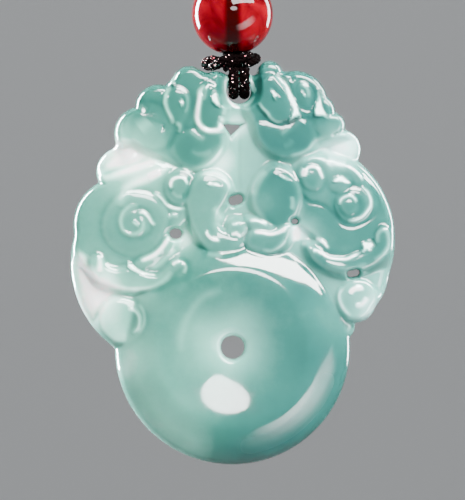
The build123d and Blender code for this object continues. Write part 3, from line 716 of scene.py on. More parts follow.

# %% The fine lines: ridges, and creases where the height is below zero
# width and height are in millimetres, and milk is the paleness that the line adds,
# which is painted light: above zero a painted highlight along a ridge or edge,
# below zero a painted shade in a valley
Line = namedtuple("Line", "name width height milk points")
LINES = [
    # bands and edges of the left head
    Line("wall left of the drop", 0.34, 0.3, 0.85, [
        (-8.5, 80.6), (-9.9, 78.7), (-10.2, 76.3), (-10.7, 73.2), (-10.8, 70.4), (-10, 68.2),
        (-8.2, 66.8), (-6, 66.5), (-4.2, 67), (-3.4, 68.9), (-3.4, 71)
    ]),
    Line("ridge left of the middle bulb", 0.26, 0.2, 0.55, [
        (-18.7, 80), (-19.9, 78.7), (-20.5, 76.9), (-20.7, 75), (-20.1, 72.9), (-19, 70.7),
        (-17.9, 68.5)
    ]),
    Line("ridge under it", 0.3, 0.1, 0.25, [
        (-17.8, 68.5), (-16.5, 68.2), (-16.1, 67), (-16.7, 65.8)
    ]),
    Line("right edge of the middle bulb", 0.25, 0.06, 0.12, [
        (-15.3, 78.7), (-13.9, 76.9), (-13.7, 74.1), (-14.7, 71.9)
    ]),
    Line("edge beside the drop", 0.22, 0.12, 0.2, [
        (-7.9, 80), (-8.2, 78.1), (-8.8, 75.6)
    ]),
    Line("fold right of the drop", 0.25, 0.08, 0.2, [
        (-3.2, 74.4), (-2.3, 72.9), (-2.9, 71.3)
    ]),
    Line("arc in the left low lobe", 0.4, 0.02, 0.2, [
        (-12.5, 67.3), (-11.9, 65.8), (-10.3, 64.5), (-8.2, 64.2)
    ]),
    Line("second arc in the left low lobe", 0.4, 0.02, 0.12, [
        (-12.8, 60.8), (-11.3, 59.6), (-8.8, 59.4), (-6.3, 60.2)
    ]),
    Line("lower edge of the left low lobe", 0.25, 0.08, 0.22, [
        (-15.6, 55.6), (-12.5, 54.6), (-9.4, 55.3), (-6.3, 57.1), (-4.2, 59.6), (-2.9, 62.1)
    ]),
    Line("glow in the outer lobe", 0.8, 0, 0.18, [
        (-28.6, 67), (-27, 68.2), (-25.5, 69.8)
    ]),
    Line("valley under the left notch", 0.35, -0.15, 0, [
        (-18.7, 80.9), (-19.6, 79.7), (-20.8, 77.5)
    ]),
    Line("valley under the far left notch", 0.4, -0.15, 0.1, [
        (-29.5, 75), (-27.6, 73.8), (-25.8, 72.9)
    ]),
    # bands and edges of the right head
    Line("inner edge of the right bulb", 0.2, 0.1, 0.45, [
        (8, 75.3), (9.1, 73.5), (10.7, 71.9), (11.6, 70.4), (13.4, 69.3), (15.6, 69.2)
    ]),
    Line("pale top of the right head", 0.8, 0, 0.08, [
        (9.1, 84.3), (11, 85.5), (12.5, 84.9)
    ]),
    Line("pale back of the right head", 0.8, 0, 0.12, [
        (18.4, 81.2), (20.8, 81.8), (22.7, 80.6)
    ]),
    Line("arc in the small bulb", 0.25, 0.08, 0.25, [
        (20.5, 81.2), (22.1, 80.3), (23, 78.7), (23.3, 76.6)
    ]),
    Line("edge of the outer curl", 0.25, 0.08, 0.15, [
        (28.9, 70.7), (31, 70.4), (32.6, 70.7)
    ]),
    Line("fold in the right low lobe", 0.35, 0.015, 0.18, [
        (14.7, 65.1), (16.2, 66.4), (17.4, 67.9)
    ]),
    Line("second fold in the right low lobe", 0.35, 0.015, 0.15, [
        (15.6, 61.8), (17.4, 62.4), (18.4, 63.9)
    ]),
    Line("lower edge of the right low lobe", 0.25, 0.08, 0.15, [
        (17.8, 58.7), (20.8, 59.6), (23.3, 61.1), (24.9, 63.3)
    ]),
    Line("valley under the right notch", 0.35, -0.15, 0, [
        (16.5, 85.5), (17.4, 83.7), (18.4, 81.8)
    ]),
    # the rim of the cord's hole
    Line("rim left of the hole", 0.18, 0.1, 0.6, [
        (-1.9, 83.7), (-2.2, 81.2), (-2, 78.4), (-1.1, 76), (0.5, 74.3), (2.3, 73.8)
    ]),
    Line("rim right of the hole", 0.18, 0.1, 0.3, [
        (6.9, 77.5), (6, 76), (4.5, 74.7), (3.2, 74.1)
    ]),
    # the folds of the left shoulder
    Line("lower fold of the shoulder", 0.6, 0.08, 0.15, [
        (-40.9, 50.9), (-36, 53.1), (-29.8, 55.6), (-23, 57.7)
    ]),
    Line("upper fold of the shoulder", 0.5, 0.08, 0.15, [
        (-39.7, 55.3), (-35.4, 56.8), (-29.2, 58.7)
    ]),
    Line("valley of the shoulder", 0.4, -0.1, -0.2, [
        (-39.7, 53.1), (-33.5, 55.3), (-25.5, 58)
    ]),
    # the left wing
    Line("arch of the left wing", 0.6, 0.12, 0.28, [
        (-34.7, 43.2), (-34.1, 46.3), (-32.6, 48.5), (-29.8, 50.3), (-26.7, 51.6), (-24.2, 53.1),
        (-21.5, 54.3), (-19, 55.3)
    ]),
    Line("bright end of the arch", 0.35, 0.1, 0.35, [
        (-25.8, 52.2), (-23.9, 53.1), (-22.1, 54)
    ]),
    Line("outer turn of the left spiral", 0.25, 0.12, 0.25, [
        (-28.9, 43.5), (-31.3, 43.4), (-33.5, 41.7), (-34.4, 38.9), (-33.7, 36.1), (-31.6, 34.7),
        (-29.5, 35), (-27.8, 36.4), (-27.5, 38.6), (-28.7, 39.8)
    ]),
    Line("middle of the left spiral", 0.22, 0.1, 0.3, [
        (-30.7, 38.9), (-29.8, 38), (-28.6, 37.4)
    ]),
    Line("inner turn of the left spiral", 0.22, 0.16, 0.55, [
        (-29, 41.4), (-27.3, 41.4), (-25.8, 40.1), (-24.9, 38.6), (-23.9, 37.4)
    ]),
    Line("wave beside the left ring", 0.2, 0.14, 0.5, [
        (-24.5, 47.4), (-22.7, 46.6), (-21.3, 45.2), (-20.2, 43.8), (-18.7, 42.9), (-16.5, 42.5),
        (-14.4, 42.9)
    ]),
    Line("second wave", 0.25, 0.08, 0.25, [
        (-19.9, 39.8), (-18.4, 40.6), (-16.5, 40.4)
    ]),
    Line("arc of the left ring", 0.2, 0.2, 0.85, [
        (-18.8, 48.8), (-19, 50.3), (-18.2, 51.7), (-16.5, 52.3), (-14.8, 51.9), (-13.6, 50)
    ]),
    Line("lower arc of the left ring", 0.25, 0.06, 0.2, [
        (-18.7, 47.9), (-17.1, 46.5), (-15.3, 46.3)
    ]),
    Line("ridge of the left wing", 0.3, 0.2, 0.6, [
        (-19.6, 34.3), (-20.7, 32.1), (-22.4, 29.9), (-24.2, 28.4), (-26.4, 27.3), (-28.3, 26.6)
    ]),
    Line("second ridge of the left wing", 0.35, 0.1, 0.3, [
        (-25.5, 24.1), (-23, 25.5), (-20.8, 27.5), (-19, 29), (-17.1, 29.9)
    ]),
    Line("left edge of the low cloud", 0.9, 0, 0.4, [
        (-45.2, 29.3), (-46.5, 27.2), (-46.2, 24.4), (-44.6, 21.9), (-42.1, 20.4)
    ]),
    Line("bar in the left low cloud", 0.35, 0.04, 0.35, [
        (-40.6, 28.1), (-40.6, 25.6), (-40.8, 23.2)
    ]),
    Line("curl of the left low cloud", 0.22, 0.16, 0.6, [
        (-18.5, 25.3), (-17.4, 26.2), (-15.9, 26.6)
    ]),
    Line("outline of the left low cloud's curl", 0.22, 0.08, 0.25, [
        (-15.3, 26.2), (-14.4, 24.7), (-15, 22.8)
    ]),
    Line("lower edge of the left low cloud", 0.3, 0.08, 0.2, [
        (-37.2, 19.1), (-32.9, 17.9), (-28.6, 17.8), (-24.2, 18.8), (-20.8, 21), (-18.7, 23.5)
    ]),
    Line("arc of the left tip spiral", 0.25, 0.14, 0.3, [
        (-32.3, 12), (-29.8, 11.1), (-28.6, 9), (-29, 6.2), (-30.7, 4.3)
    ]),
    Line("outer arc of the left tip spiral", 0.22, 0.1, 0.2, [
        (-28.9, 13.6), (-27.3, 10.8), (-27.2, 7.4), (-28.9, 4.3)
    ]),
    # the forms in the middle
    Line("upper edge of the left middle lobe", 0.3, 0.08, 0.3, [
        (-10, 52.8), (-7.9, 53.6), (-5.1, 53.4), (-2.6, 52.2), (-1.1, 50), (-0.8, 47.9)
    ]),
    Line("lower arc of the left middle lobe", 0.2, 0.18, 0.75, [
        (-8.2, 35.8), (-7.4, 34.3), (-6, 33.2), (-3.9, 32.9)
    ]),
    Line("pale fold of the left middle lobe", 0.4, 0.05, 0.2, [
        (-5.7, 43.2), (-4.5, 41.4), (-3.2, 38.9)
    ]),
    Line("under the left middle lobe", 0.3, 0.05, 0.2, [
        (-7.9, 29), (-5.4, 28.4), (-2.9, 28.7)
    ]),
    Line("fold in the left end", 0.2, 0.16, 0.7, [
        (-0.5, 34.7), (1.1, 34.9), (2.5, 34.1)
    ]),
    Line("upper fold of the left end", 0.2, 0.08, 0.35, [
        (-0.2, 37.8), (1.7, 38)
    ]),
    Line("crease between the folds", 0.25, -0.12, 0, [
        (4.2, 38.6), (4.5, 34.9), (3.6, 30.9)
    ]),
    Line("upper fold of the low scroll", 0.22, 0.1, 0.4, [
        (5.1, 38.9), (7.3, 39.1), (9.1, 38.4), (10.7, 37.7)
    ]),
    Line("upper line of the low scroll", 0.22, 0.2, 0.85, [
        (6.5, 35.5), (8.8, 35.4), (11.3, 34.9), (13.4, 35.2), (15.3, 36), (16.8, 37.4)
    ]),
    Line("under line of the low scroll", 0.25, 0.06, 0.2, [
        (9.1, 29.9), (11.9, 29.6), (14.4, 30.9), (16.2, 33)
    ]),
    Line("crease of the stem", 0.3, -0.1, 0, [
        (1.7, 67.6), (1.9, 60.8), (1.7, 54), (1.9, 47.9)
    ]),
    Line("pale edge left of the right middle lobe", 0.35, 0.04, 0.2, [
        (6.3, 46.6), (6.3, 49.4), (7.9, 52.2), (10.3, 54.3)
    ]),
    Line("pale gap right of the right middle lobe", 0.3, 0.04, 0.3, [
        (18.1, 42.3), (18.4, 44.5), (18.1, 46.6)
    ]),
    Line("glow beside the small hole", 0.7, 0, 0.4, [
        (19.6, 37.4), (19.3, 34.9), (19.9, 32.7)
    ]),
    # the right wing
    Line("arc over the right ring", 0.35, 0.08, 0.2, [
        (18.4, 55.9), (20.5, 57.4), (23.6, 58.5), (26.7, 58), (29.2, 56.5), (30.7, 54.3)
    ]),
    Line("right ring's left end", 0.42, 0.16, 0.8, [
        (22.2, 52.5), (21.9, 53.7), (22.5, 54.8)
    ]),
    Line("arc of the right ring", 0.2, 0.2, 0.85, [
        (21.9, 53.7), (23, 55.1), (24.5, 55.6), (26.1, 55), (27, 53.4), (27.6, 51.9)
    ]),
    Line("outer line of the right arm", 0.5, 0.08, 0.3, [
        (28.9, 57.4), (32, 56.3), (35, 55.9)
    ]),
    Line("thin end of the right arm", 0.2, 0.16, 0.6, [
        (34.7, 55.9), (36.9, 54.8), (38.7, 53.1), (40, 51.3)
    ]),
    Line("right spiral's outer turn", 0.2, 0.16, 0.65, [
        (39.4, 49.4), (41.2, 47.9), (42.3, 45.7), (42.3, 43.5), (41.2, 41.7), (39.7, 40.1),
        (37.5, 39.1), (35.4, 38.9)
    ]),
    Line("right spiral's inner turn", 0.2, 0.16, 0.65, [
        (32.7, 43.8), (33.2, 45.4), (34.4, 46.3), (36, 46.6), (37.4, 45.8), (38, 44.5)
    ]),
    Line("folds over the right low cloud", 0.2, 0.1, 0.4, [
        (25.5, 33.7), (27, 33), (28.6, 31.5), (29.5, 30.3)
    ]),
    Line("second fold there", 0.2, 0.1, 0.3, [
        (26.7, 33), (27.9, 32.1), (29.2, 30.7)
    ]),
    Line("left end of the low cloud's edge", 0.3, 0.14, 0.6, [
        (24.5, 29.9), (26.1, 29.8), (27.6, 28.9)
    ]),
    Line("edge of the right low cloud", 0.2, 0.18, 0.85, [
        (26.4, 29.8), (28.3, 28.4), (30.1, 27.6), (32.6, 27.3), (35, 27.3), (37.2, 28.3), (39.1, 29.2)
    ]),
    Line("hook of the right low cloud", 0.25, 0.08, 0.25, [
        (44.6, 32.1), (44.3, 34.3), (45.2, 35.8), (46.8, 36.1), (47.7, 34.3), (47.7, 31.2),
        (46.2, 28.7), (43.4, 26.9)
    ]),
    Line("under the right low cloud", 0.3, 0.05, 0.15, [
        (28.6, 26.2), (32.6, 24.7), (36.9, 24.4), (41.2, 25.6)
    ]),
    Line("arc of the right tip spiral", 0.28, 0.14, 0.7, [
        (36.1, 16.4), (36.6, 17.4), (37.8, 18.1), (40.3, 18.4)
    ]),
    Line("outer arc of the right tip spiral", 0.25, 0.1, 0.25, [
        (33.5, 19.1), (32.7, 15.7), (33.8, 12.4), (36.3, 9.6)
    ]),
    Line("lower fold of the right tip spiral", 0.3, 0.06, 0.3, [
        (37.5, 13), (39.7, 13.3), (41.5, 15.4)
    ]),
    Line("faint arc of the dish", 0.5, 0.04, 0.1, [
        (-15.9, -1.5), (-15.6, 4.3), (-13.1, 10.8), (-8.8, 15.7), (-3.2, 17.9)
    ]),
]
print("fine lines:", len(LINES))

# %% The small flats that the polish left, which mirror the softbox whole
# milk is the paleness laid on a flat: a painted highlight over the softbox that it mirrors
Flat = namedtuple("Flat", "name milk outline")
FLATS = [
    Flat("window on the drop", 0.25, [
        (-5.4, 79), (-4.3, 77.8), (-3.9, 76), (-3.9, 73.8), (-5.1, 74.1), (-6.3, 75.3), (-6.6, 76.9),
        (-6, 78.4)
    ]),
    Flat("glint on the middle bulb", 0.35, [
        (-15.9, 76.6), (-15, 76.3), (-15, 74.4), (-15.6, 73.8), (-16.1, 75)
    ]),
    Flat("sliver on the left head's top bump", 0.45, [
        (-19, 80.9), (-18.7, 82.7), (-17.4, 84.3), (-16.8, 84), (-17.4, 82.1), (-18.1, 80.6)
    ]),
    Flat("window on the right bulb", 0.25, [
        (11.6, 79.7), (12.5, 79.5), (13.7, 78.1), (14.5, 77.2), (13.4, 76.6), (13.1, 75.8), (12.2, 77.2)
    ]),
    Flat("long band of the right bulb", 0.45, [
        (12.8, 83.5), (14.7, 83.5), (16.2, 82.7), (17.4, 80.6), (18.4, 78.1), (19.3, 75.6),
        (20.2, 73.2), (20.8, 71), (19, 70.4), (17.1, 69.2), (18.1, 71), (18.4, 73.2), (17.8, 75),
        (16.8, 77.5), (15.6, 80), (14, 81.8)
    ]),
    Flat("triangle on the outer curl", 0.35, [
        (26.7, 79), (27.3, 77.2), (27.6, 75), (28.1, 72.6), (29.2, 70.1), (27.6, 71), (26.4, 70.9),
        (25.2, 71.2), (24.9, 72.9), (25.8, 75)
    ]),
    Flat("glint on the small bulb", 0.35, [
        (21, 79.3), (21.8, 79), (22.5, 76.7), (21.8, 77)
    ]),
    Flat("sliver under the long band", 0.4, [
        (20.8, 70.4), (21.5, 70.2), (22.4, 68.5), (21.5, 68.9)
    ]),
    Flat("edge right of the hole", 0.4, [
        (5.7, 83.1), (6.6, 81.2), (7.4, 79.3), (6.9, 77.8), (6.2, 79), (5.6, 80.9)
    ]),
    Flat("bar of the left low cloud", 0.45, [
        (-32.1, 26.2), (-30.7, 25.8), (-29.2, 24.5), (-27.6, 23.6), (-25.5, 23), (-22.8, 22.5),
        (-23.9, 22.1), (-26.4, 22.2), (-28.9, 22.8), (-31, 23.8), (-32.1, 24.7)
    ]),
    Flat("window on the left middle lobe", 0.45, [
        (-8, 50.2), (-6.9, 50.8), (-5.1, 50.9), (-3.4, 50.2), (-5.1, 49.7), (-6.9, 49.7)
    ]),
    Flat("window on the right middle lobe", 0.4, [
        (14, 52.8), (15.3, 53.3), (16.8, 52.6), (18.4, 51.1), (16.5, 51.4), (15, 52)
    ]),
    Flat("cap of the right bulb", 0.4, [
        (30.6, 50.8), (31.3, 51.9), (32.6, 52.6), (33.8, 53), (35, 52), (36.3, 50.5), (34.4, 50.8),
        (32.6, 50.9)
    ]),
    Flat("window on the right low cloud", 0.4, [
        (39.7, 32), (41.5, 32.9), (42.8, 33.2), (43.8, 31.5), (42.8, 30.4), (41.2, 29.9), (39.4, 29.2),
        (38.7, 28.6), (40, 30.3)
    ]),
]
print("small flats:", len(FLATS))

# %% Where the stone ends: its outline and its holes
GRID_STEP = 0.172  # millimetres
GRID_START = np.array([-20.7, -15.2])
HOLE_SHIFT, HOLE_HEIGHT, HOLE_RADIUS = 0.8, 31.56, 1.45  # the cord's hole, in millimetres
BRIDGE_RADIUS, BRIDGE_TOP = 2.4, 34.1
DISC_HOLE_RADIUS = 1.4
Slot = namedtuple("Slot", "x z length height turn")
SLOTS = [
    Slot(1.0, 45.4, 4.2, 2.6, 20),
    Slot(-17.5, 35.0, 3.4, 2.8, 0),
    Slot(19.2, 38.8, 1.6, 1.2, 0),
    Slot(37.2, 22.8, 3.4, 1.7, 10),
]
TRIANGLE = [(-2.8, 68.7), (-0.5, 65.5), (2.6, 68.5)]  # counter-clockwise
OUTLINE_BLEND = 0.3  # millimetres, of the fillets where two lobes meet in the outline


def smooth_max(first, second, blend):
    """The larger of two fields, with a round fillet where they are within a blend of each other."""
    near = np.clip(1 - np.abs(first - second) / blend, 0, None)
    return np.maximum(first, second) + blend * near**2 / 4


def inside_circle(x, z, centre_x, centre_z, radius):
    """How far a place lies inside a circle; below zero it is outside."""
    return radius - np.hypot(x - centre_x, z - centre_z)


def inside_slot(x, z, slot):
    """How far a place lies inside a slot: its half height less the way to its middle line."""
    turn = np.radians(slot.turn)
    along_x, along_z = np.cos(turn), np.sin(turn)
    dx, dz = x - slot.x * SHARE, z - slot.z * SHARE
    half_line = (slot.length - slot.height) / 2 * SHARE
    along = np.clip(dx * along_x + dz * along_z, -half_line, half_line)
    return slot.height / 2 * SHARE - np.hypot(dx - along * along_x, dz - along * along_z)


def inside_corners(x, z, corners):
    """How far a place lies inside straight sides, given counter-clockwise: the least way to a side."""
    depth = np.full_like(x, np.inf)
    for (ax, az), (bx, bz) in zip(corners, corners[1:] + corners[:1]):
        side_x, side_z = (bx - ax) * SHARE, (bz - az) * SHARE
        cross = side_x * (z - az * SHARE) - side_z * (x - ax * SHARE)
        depth = np.minimum(depth, cross / np.hypot(side_x, side_z))
    return depth


def stone_depth(x, z):
    """How far a place lies inside the outline: the largest of all its circles, softly joined."""
    depth = inside_circle(x, z, 0, 0, DISC_RADIUS)
    bridge = inside_circle(x, z, HOLE_SHIFT, BRIDGE_TOP - BRIDGE_RADIUS, BRIDGE_RADIUS)
    depth = smooth_max(depth, bridge, OUTLINE_BLEND)
    for lobe in LOBES:
        circle = inside_circle(x, z, lobe.x * SHARE, lobe.z * SHARE, lobe.radius * SHARE)
        depth = smooth_max(depth, circle, OUTLINE_BLEND)
    return depth


def hole_depth(x, z):
    """How far a place lies inside the nearest hole."""
    depth = inside_circle(x, z, 0, 0, DISC_HOLE_RADIUS)
    depth = np.maximum(depth, inside_circle(x, z, HOLE_SHIFT, HOLE_HEIGHT, HOLE_RADIUS))
    depth = np.maximum(depth, inside_corners(x, z, TRIANGLE))
    for slot in SLOTS:
        depth = np.maximum(depth, inside_slot(x, z, slot))
    return depth


# %% The heights of the lobes and the donut
ABSENT = -9.0  # a height below everything
RIM_PART = 0.82  # of a lobe's height that its rim makes, the rest is its crown


def lobe_height(x, z, lobe, side):
    """A dome: a round rim as wide as the dome is high, and a gentle crown inside it."""
    radius = lobe.radius * SHARE
    rise = getattr(lobe, side) * HALF_THICKNESS
    depth = inside_circle(x, z, lobe.x * SHARE, lobe.z * SHARE, radius)
    rim = min(rise, radius)
    along = np.clip(depth / rim, 0, 1)
    rim_part = np.sqrt(1 - (1 - along) ** 2)
    crown_part = 1 - ((radius - depth) / radius) ** 2
    lift = lobe.lift * HALF_THICKNESS if side == "front" else 0
    height = lift + rise * (RIM_PART * rim_part + (1 - RIM_PART) * crown_part)
    return np.where(depth > 0, height, ABSENT)


CREST_RADIUS = 9.2  # millimetres, where the donut is thickest
DISH_SLOPE, DISH_BEND, DISH_HOLLOW = 0.11, 0.35, 0.0105
DOME_SLOPE, DOME_BEND = 0.64, 1.9
RIM_START, RIM_FALL = 12, 0.1  # millimetres, where the last steep fall begins, and how fast it grows


def donut_height(x, z):
    """From the crest the slope grows fast at first, then slowly, and fast again at the rim."""
    way = np.hypot(x, z)
    inward = np.clip(CREST_RADIUS - way, 0, None)
    outward = np.clip(way - CREST_RADIUS, 0, None)
    dish = DISH_SLOPE * (inward - DISH_BEND * (1 - np.exp(-inward / DISH_BEND)))
    dish += DISH_HOLLOW * inward**2
    dome = DOME_SLOPE * (outward - DOME_BEND * (1 - np.exp(-outward / DOME_BEND)))
    rim = RIM_FALL * np.clip(way - RIM_START, 0, None) ** 2
    return np.where(way < DISC_RADIUS, HALF_THICKNESS - dish - dome - rim, ABSENT)


# %% Smooth lines, and how far a place is from them


def smooth_line(corners, closed, steps=6):
    """A smooth line through points: cubics whose slopes are taken from the neighbours."""
    points = np.array(corners, float) * SHARE
    if closed:
        ring = np.concatenate([points[-1:], points, points[:2]])
    else:
        ring = np.concatenate([2 * points[:1] - points[1:2], points, 2 * points[-1:] - points[-2:-1]])
    before, here, after, beyond = (ring[k:len(ring) - 3 + k, None] for k in range(4))
    t = np.linspace(0, 1, steps, endpoint=False)[:, None]
    curve = (
        2 * here
        + (after - before) * t
        + (2 * before - 5 * here + 4 * after - beyond) * t**2
        + (3 * here - before - 3 * after + beyond) * t**3
    ) / 2
    curve = curve.reshape(-1, 2)
    return curve if closed else np.concatenate([curve, points[-1:]])


def window(curve, margin):
    """The part of the grid that holds a curve and a margin round it, as a pair of slices."""
    low, high = curve.min(axis=0) - margin, curve.max(axis=0) + margin
    first = np.clip(((low - GRID_START) / GRID_STEP).astype(int), 0, None)
    last = ((high - GRID_START) / GRID_STEP).astype(int) + 2
    return slice(first[0], last[0]), slice(first[1], last[1])


def line_distance(x, z, curve):
    """The way from each place to the nearest piece of a curve, and how far along that lies."""
    start, run = curve[:-1], np.diff(curve, axis=0)
    dx, dz = x[..., None] - start[:, 0], z[..., None] - start[:, 1]
    share = np.clip((dx * run[:, 0] + dz * run[:, 1]) / (run**2).sum(axis=1), 0, 1)
    way = np.hypot(dx - share * run[:, 0], dz - share * run[:, 1])
    nearest = way.argmin(axis=-1)[..., None]
    along = (nearest + np.take_along_axis(share, nearest, -1)) / len(run)
    return np.take_along_axis(way, nearest, -1)[..., 0], along[..., 0]


def inside_outline(x, z, curve):
    """How far a place lies inside a closed curve, where a ray crosses it an odd number of times."""
    loop = np.concatenate([curve, curve[:1]])
    way, _ = line_distance(x, z, loop)
    start, end = loop[:-1], loop[1:]
    level = z[..., None]
    spans = (start[:, 1] > level) != (end[:, 1] > level)
    rise = np.where(end[:, 1] == start[:, 1], 1, end[:, 1] - start[:, 1])
    crossing = start[:, 0] + (level - start[:, 1]) * (end[:, 0] - start[:, 0]) / rise
    odd = (spans & (x[..., None] < crossing)).sum(axis=-1) % 2 == 1
    return np.where(odd, way, -way)


# %% The cuts: a form, a line, a flat and the groove of the cord
CROWN = 0.09  # millimetres that a form rises from its rim to its middle
MOAT_DEPTH, MOAT_WIDTH = 0.07, 0.35
FLANK_SLOPE = 1.5
FORM_BLEND, FORM_FADE = 0.1, 0.5  # millimetres, of the seam's fillet and of the change in milk
# painted light: a form's edge is painted paler, a painted highlight, and the moat beside it darker, a
# painted shade
EDGE_PAINTED_HIGHLIGHT, MOAT_PAINTED_SHADE = 0.1, -0.14  # a form's thin edge is paler, the moat beside it darker


def carve_form(height, milk, x, z, form):
    """A cloud form: a gentle crown, a rim that bends down to a straight flank, and a moat."""
    curve = smooth_line(form.outline, closed=True)
    here = window(curve, 4 * MOAT_WIDTH)
    way = inside_outline(x[here], z[here], curve)
    inward = np.clip(way / form.rim, 0, 1)
    crown = np.clip(way / way.max(), 0, 1)
    side = form.steep * form.rim / 2 * (1 - inward) ** 2 - FLANK_SLOPE * np.clip(way, None, 0)
    drop = side + CROWN * (1 - crown) ** 2
    lean = form.slope * (z[here] - curve[:, 1].mean())
    top = form.top * HALF_THICKNESS - drop + lean
    moat = MOAT_DEPTH * np.exp(-((np.clip(way, None, 0) / MOAT_WIDTH) ** 2))
    cover = np.clip(way / FORM_FADE, 0, 1) * (top > height[here])
    milk[here] += (form.milk - milk[here]) * cover
    # a painted highlight just inside the outline, and painted shade in the moat outside it
    milk[here] += np.where(way > 0, EDGE_PAINTED_HIGHLIGHT, MOAT_PAINTED_SHADE) * np.exp(-((way / MOAT_WIDTH) ** 2))
    height[here] = smooth_max(height[here] - moat, top, FORM_BLEND)


LINE_TAPER = 6  # a line has its full height from a sixth of its way on


def cut_line(height, milk, x, z, line):
    """A fine ridge or crease along a line, thin at both ends: a bell curve across it."""
    curve = smooth_line(line.points, closed=False)
    here = window(curve, 3 * line.width)
    way, along = line_distance(x[here], z[here], curve)
    taper = np.sqrt(np.clip(np.minimum(along, 1 - along) * LINE_TAPER, 0, 1))
    bell = np.exp(-((way / line.width) ** 2)) * taper
    height[here] += line.height * bell
    # the paleness a line adds is painted light: above zero a painted highlight, below zero a painted
    # shade
    milk[here] += line.milk * bell


FLAT_TILT = np.array([-0.32, -0.36])  # how the front falls to the right and upward on a flat
FLAT_FADE, FLAT_MARGIN = 0.12, 0.5  # millimetres, of a flat's soft edge and of the window round it


def cut_flat(height, milk, x, z, flat):
    """A flat facet: inside its outline the height is a tilted plane through the mean height there."""
    curve = np.array(flat.outline) * SHARE
    here = window(curve, FLAT_MARGIN)
    way = inside_outline(x[here], z[here], curve)
    share = np.clip(way / FLAT_FADE + 0.5, 0, 1)
    middle = [(share * axis[here]).sum() / share.sum() for axis in (x, z, height)]
    plane = middle[2] + FLAT_TILT[0] * (x[here] - middle[0]) + FLAT_TILT[1] * (z[here] - middle[1])
    height[here] += (plane - height[here]) * share
    # the flat is painted pale as well: a painted highlight
    milk[here] += flat.milk * share


GROOVE_RADIUS, GROOVE_SLOPE = 1.85, 1.7
BRIDGE_HALF = 1.4  # half the thickness of the bridge over the hole


def cord_groove(x, z):
    """The most height near the cord's hole: a flat floor, open at the top, with sloping sides."""
    below = np.clip(HOLE_HEIGHT - z, 0, None)
    way = np.hypot(x - HOLE_SHIFT, below) - GROOVE_RADIUS
    return BRIDGE_HALF + GROOVE_SLOPE * np.clip(way, 0, None)


# %% The front and the back as a whole


def blurred(field, reach):
    """A field with its creases worn round: a weighted mean over three steps both ways."""
    taps = np.arange(-3, 4)
    weights = np.exp(-((taps * GRID_STEP / reach) ** 2) / 2)
    weights /= weights.sum()
    for axis in (0, 1):
        field = sum(weight * np.roll(field, tap, axis) for weight, tap in zip(weights, taps))
    return field


PLATE_SHARE = 0.74  # of a lobe's height, left under the forms
PLATE_MILK, DISC_MILK = 0.54, 0.32
PLATE_BLEND, BACK_BLEND = 0.25, 0.5  # millimetres, of the fillets between lobes
DISC_FADE = 0.5  # millimetres of height over which the plate's milk turns into the donut's


def carved_front(x, z):
    """The front's height and milk: the donut and the plate's lobes, then every form on top."""
    plate = np.full_like(x, ABSENT)
    for lobe in LOBES:
        plate = smooth_max(plate, PLATE_SHARE * lobe_height(x, z, lobe, "front"), PLATE_BLEND)
    disc = donut_height(x, z)
    disc_share = np.clip((disc - plate) / DISC_FADE + 0.5, 0, 1)
    milk = PLATE_MILK + (DISC_MILK - PLATE_MILK) * disc_share
    height = smooth_max(disc, plate, PLATE_BLEND)
    for form in FORMS:
        carve_form(height, milk, x, z, form)
    return height, milk


def back_height(x, z):
    """The plain back: the donut and the lobes."""
    height = donut_height(x, z)
    for lobe in LOBES:
        height = smooth_max(height, lobe_height(x, z, lobe, "back"), BACK_BLEND)
    return height


# %% [markdown]
# From heights to a closed stone
#
# A square grid doesn't follow a round outline. So the grid is cut to the
# stone, its edge points are moved onto the outline, and the points near the
# edge are spread so that they step evenly round the quarter circle of the rim.
# Front and back share their edge points, which closes the stone.

# %% The heights at every point of the grid
GRID_END = np.array([20.9, 35.2])
FRONT_WEAR, MILK_WEAR, BACK_WEAR = 0.12, 0.25, 0.3  # millimetres, how far creases are worn round
LEAST_HALF, MOST_FRONT, MOST_BACK = 0.4, 3.75, 3.5  # millimetres
RIM_WIDTH, HOLE_RIM_WIDTH = 0.85, 0.4  # millimetres, of the round at the outline and at a hole

grid_x, grid_z = np.meshgrid(
    np.arange(GRID_START[0], GRID_END[0], GRID_STEP),
    np.arange(GRID_START[1], GRID_END[1], GRID_STEP),
    indexing="ij",
)
outer_depth = stone_depth(grid_x, grid_z)
inner_depth = -hole_depth(grid_x, grid_z)
depth = np.minimum(outer_depth, inner_depth)
front, milk = carved_front(grid_x, grid_z)
front, milk = blurred(front, FRONT_WEAR), blurred(milk, MILK_WEAR)
for line in LINES:
    cut_line(front, milk, grid_x, grid_z, line)
for flat in FLATS:
    cut_flat(front, milk, grid_x, grid_z, flat)
back = blurred(back_height(grid_x, grid_z), BACK_WEAR)
front = np.clip(np.minimum(front, cord_groove(grid_x, grid_z)), LEAST_HALF, MOST_FRONT)
back = np.clip(np.minimum(back, cord_groove(grid_x, grid_z)), LEAST_HALF, MOST_BACK)
thickness = (front + back)[depth > RIM_WIDTH]
print("thinnest and thickest jade inside the rim, in millimetres:",
      [round(float(value), 2) for value in (thickness.min(), thickness.max())])

# %% The grid cut to the stone, and its rim made round
LEAST_SLOPE = 0.3  # of the depth, where two edges are equally near and it hardly has a direction

kept = depth > -GRID_STEP / 2
cell_kept = kept[:-1, :-1] & kept[1:, :-1] & kept[1:, 1:] & kept[:-1, 1:]
rows, columns = grid_x.shape
cells = grid_faces(rows, columns)[cell_kept.ravel()]
use = np.zeros(rows * columns, int)
np.add.at(use, cells.ravel(), 1)
on_edge = (use > 0) & (use < 4)

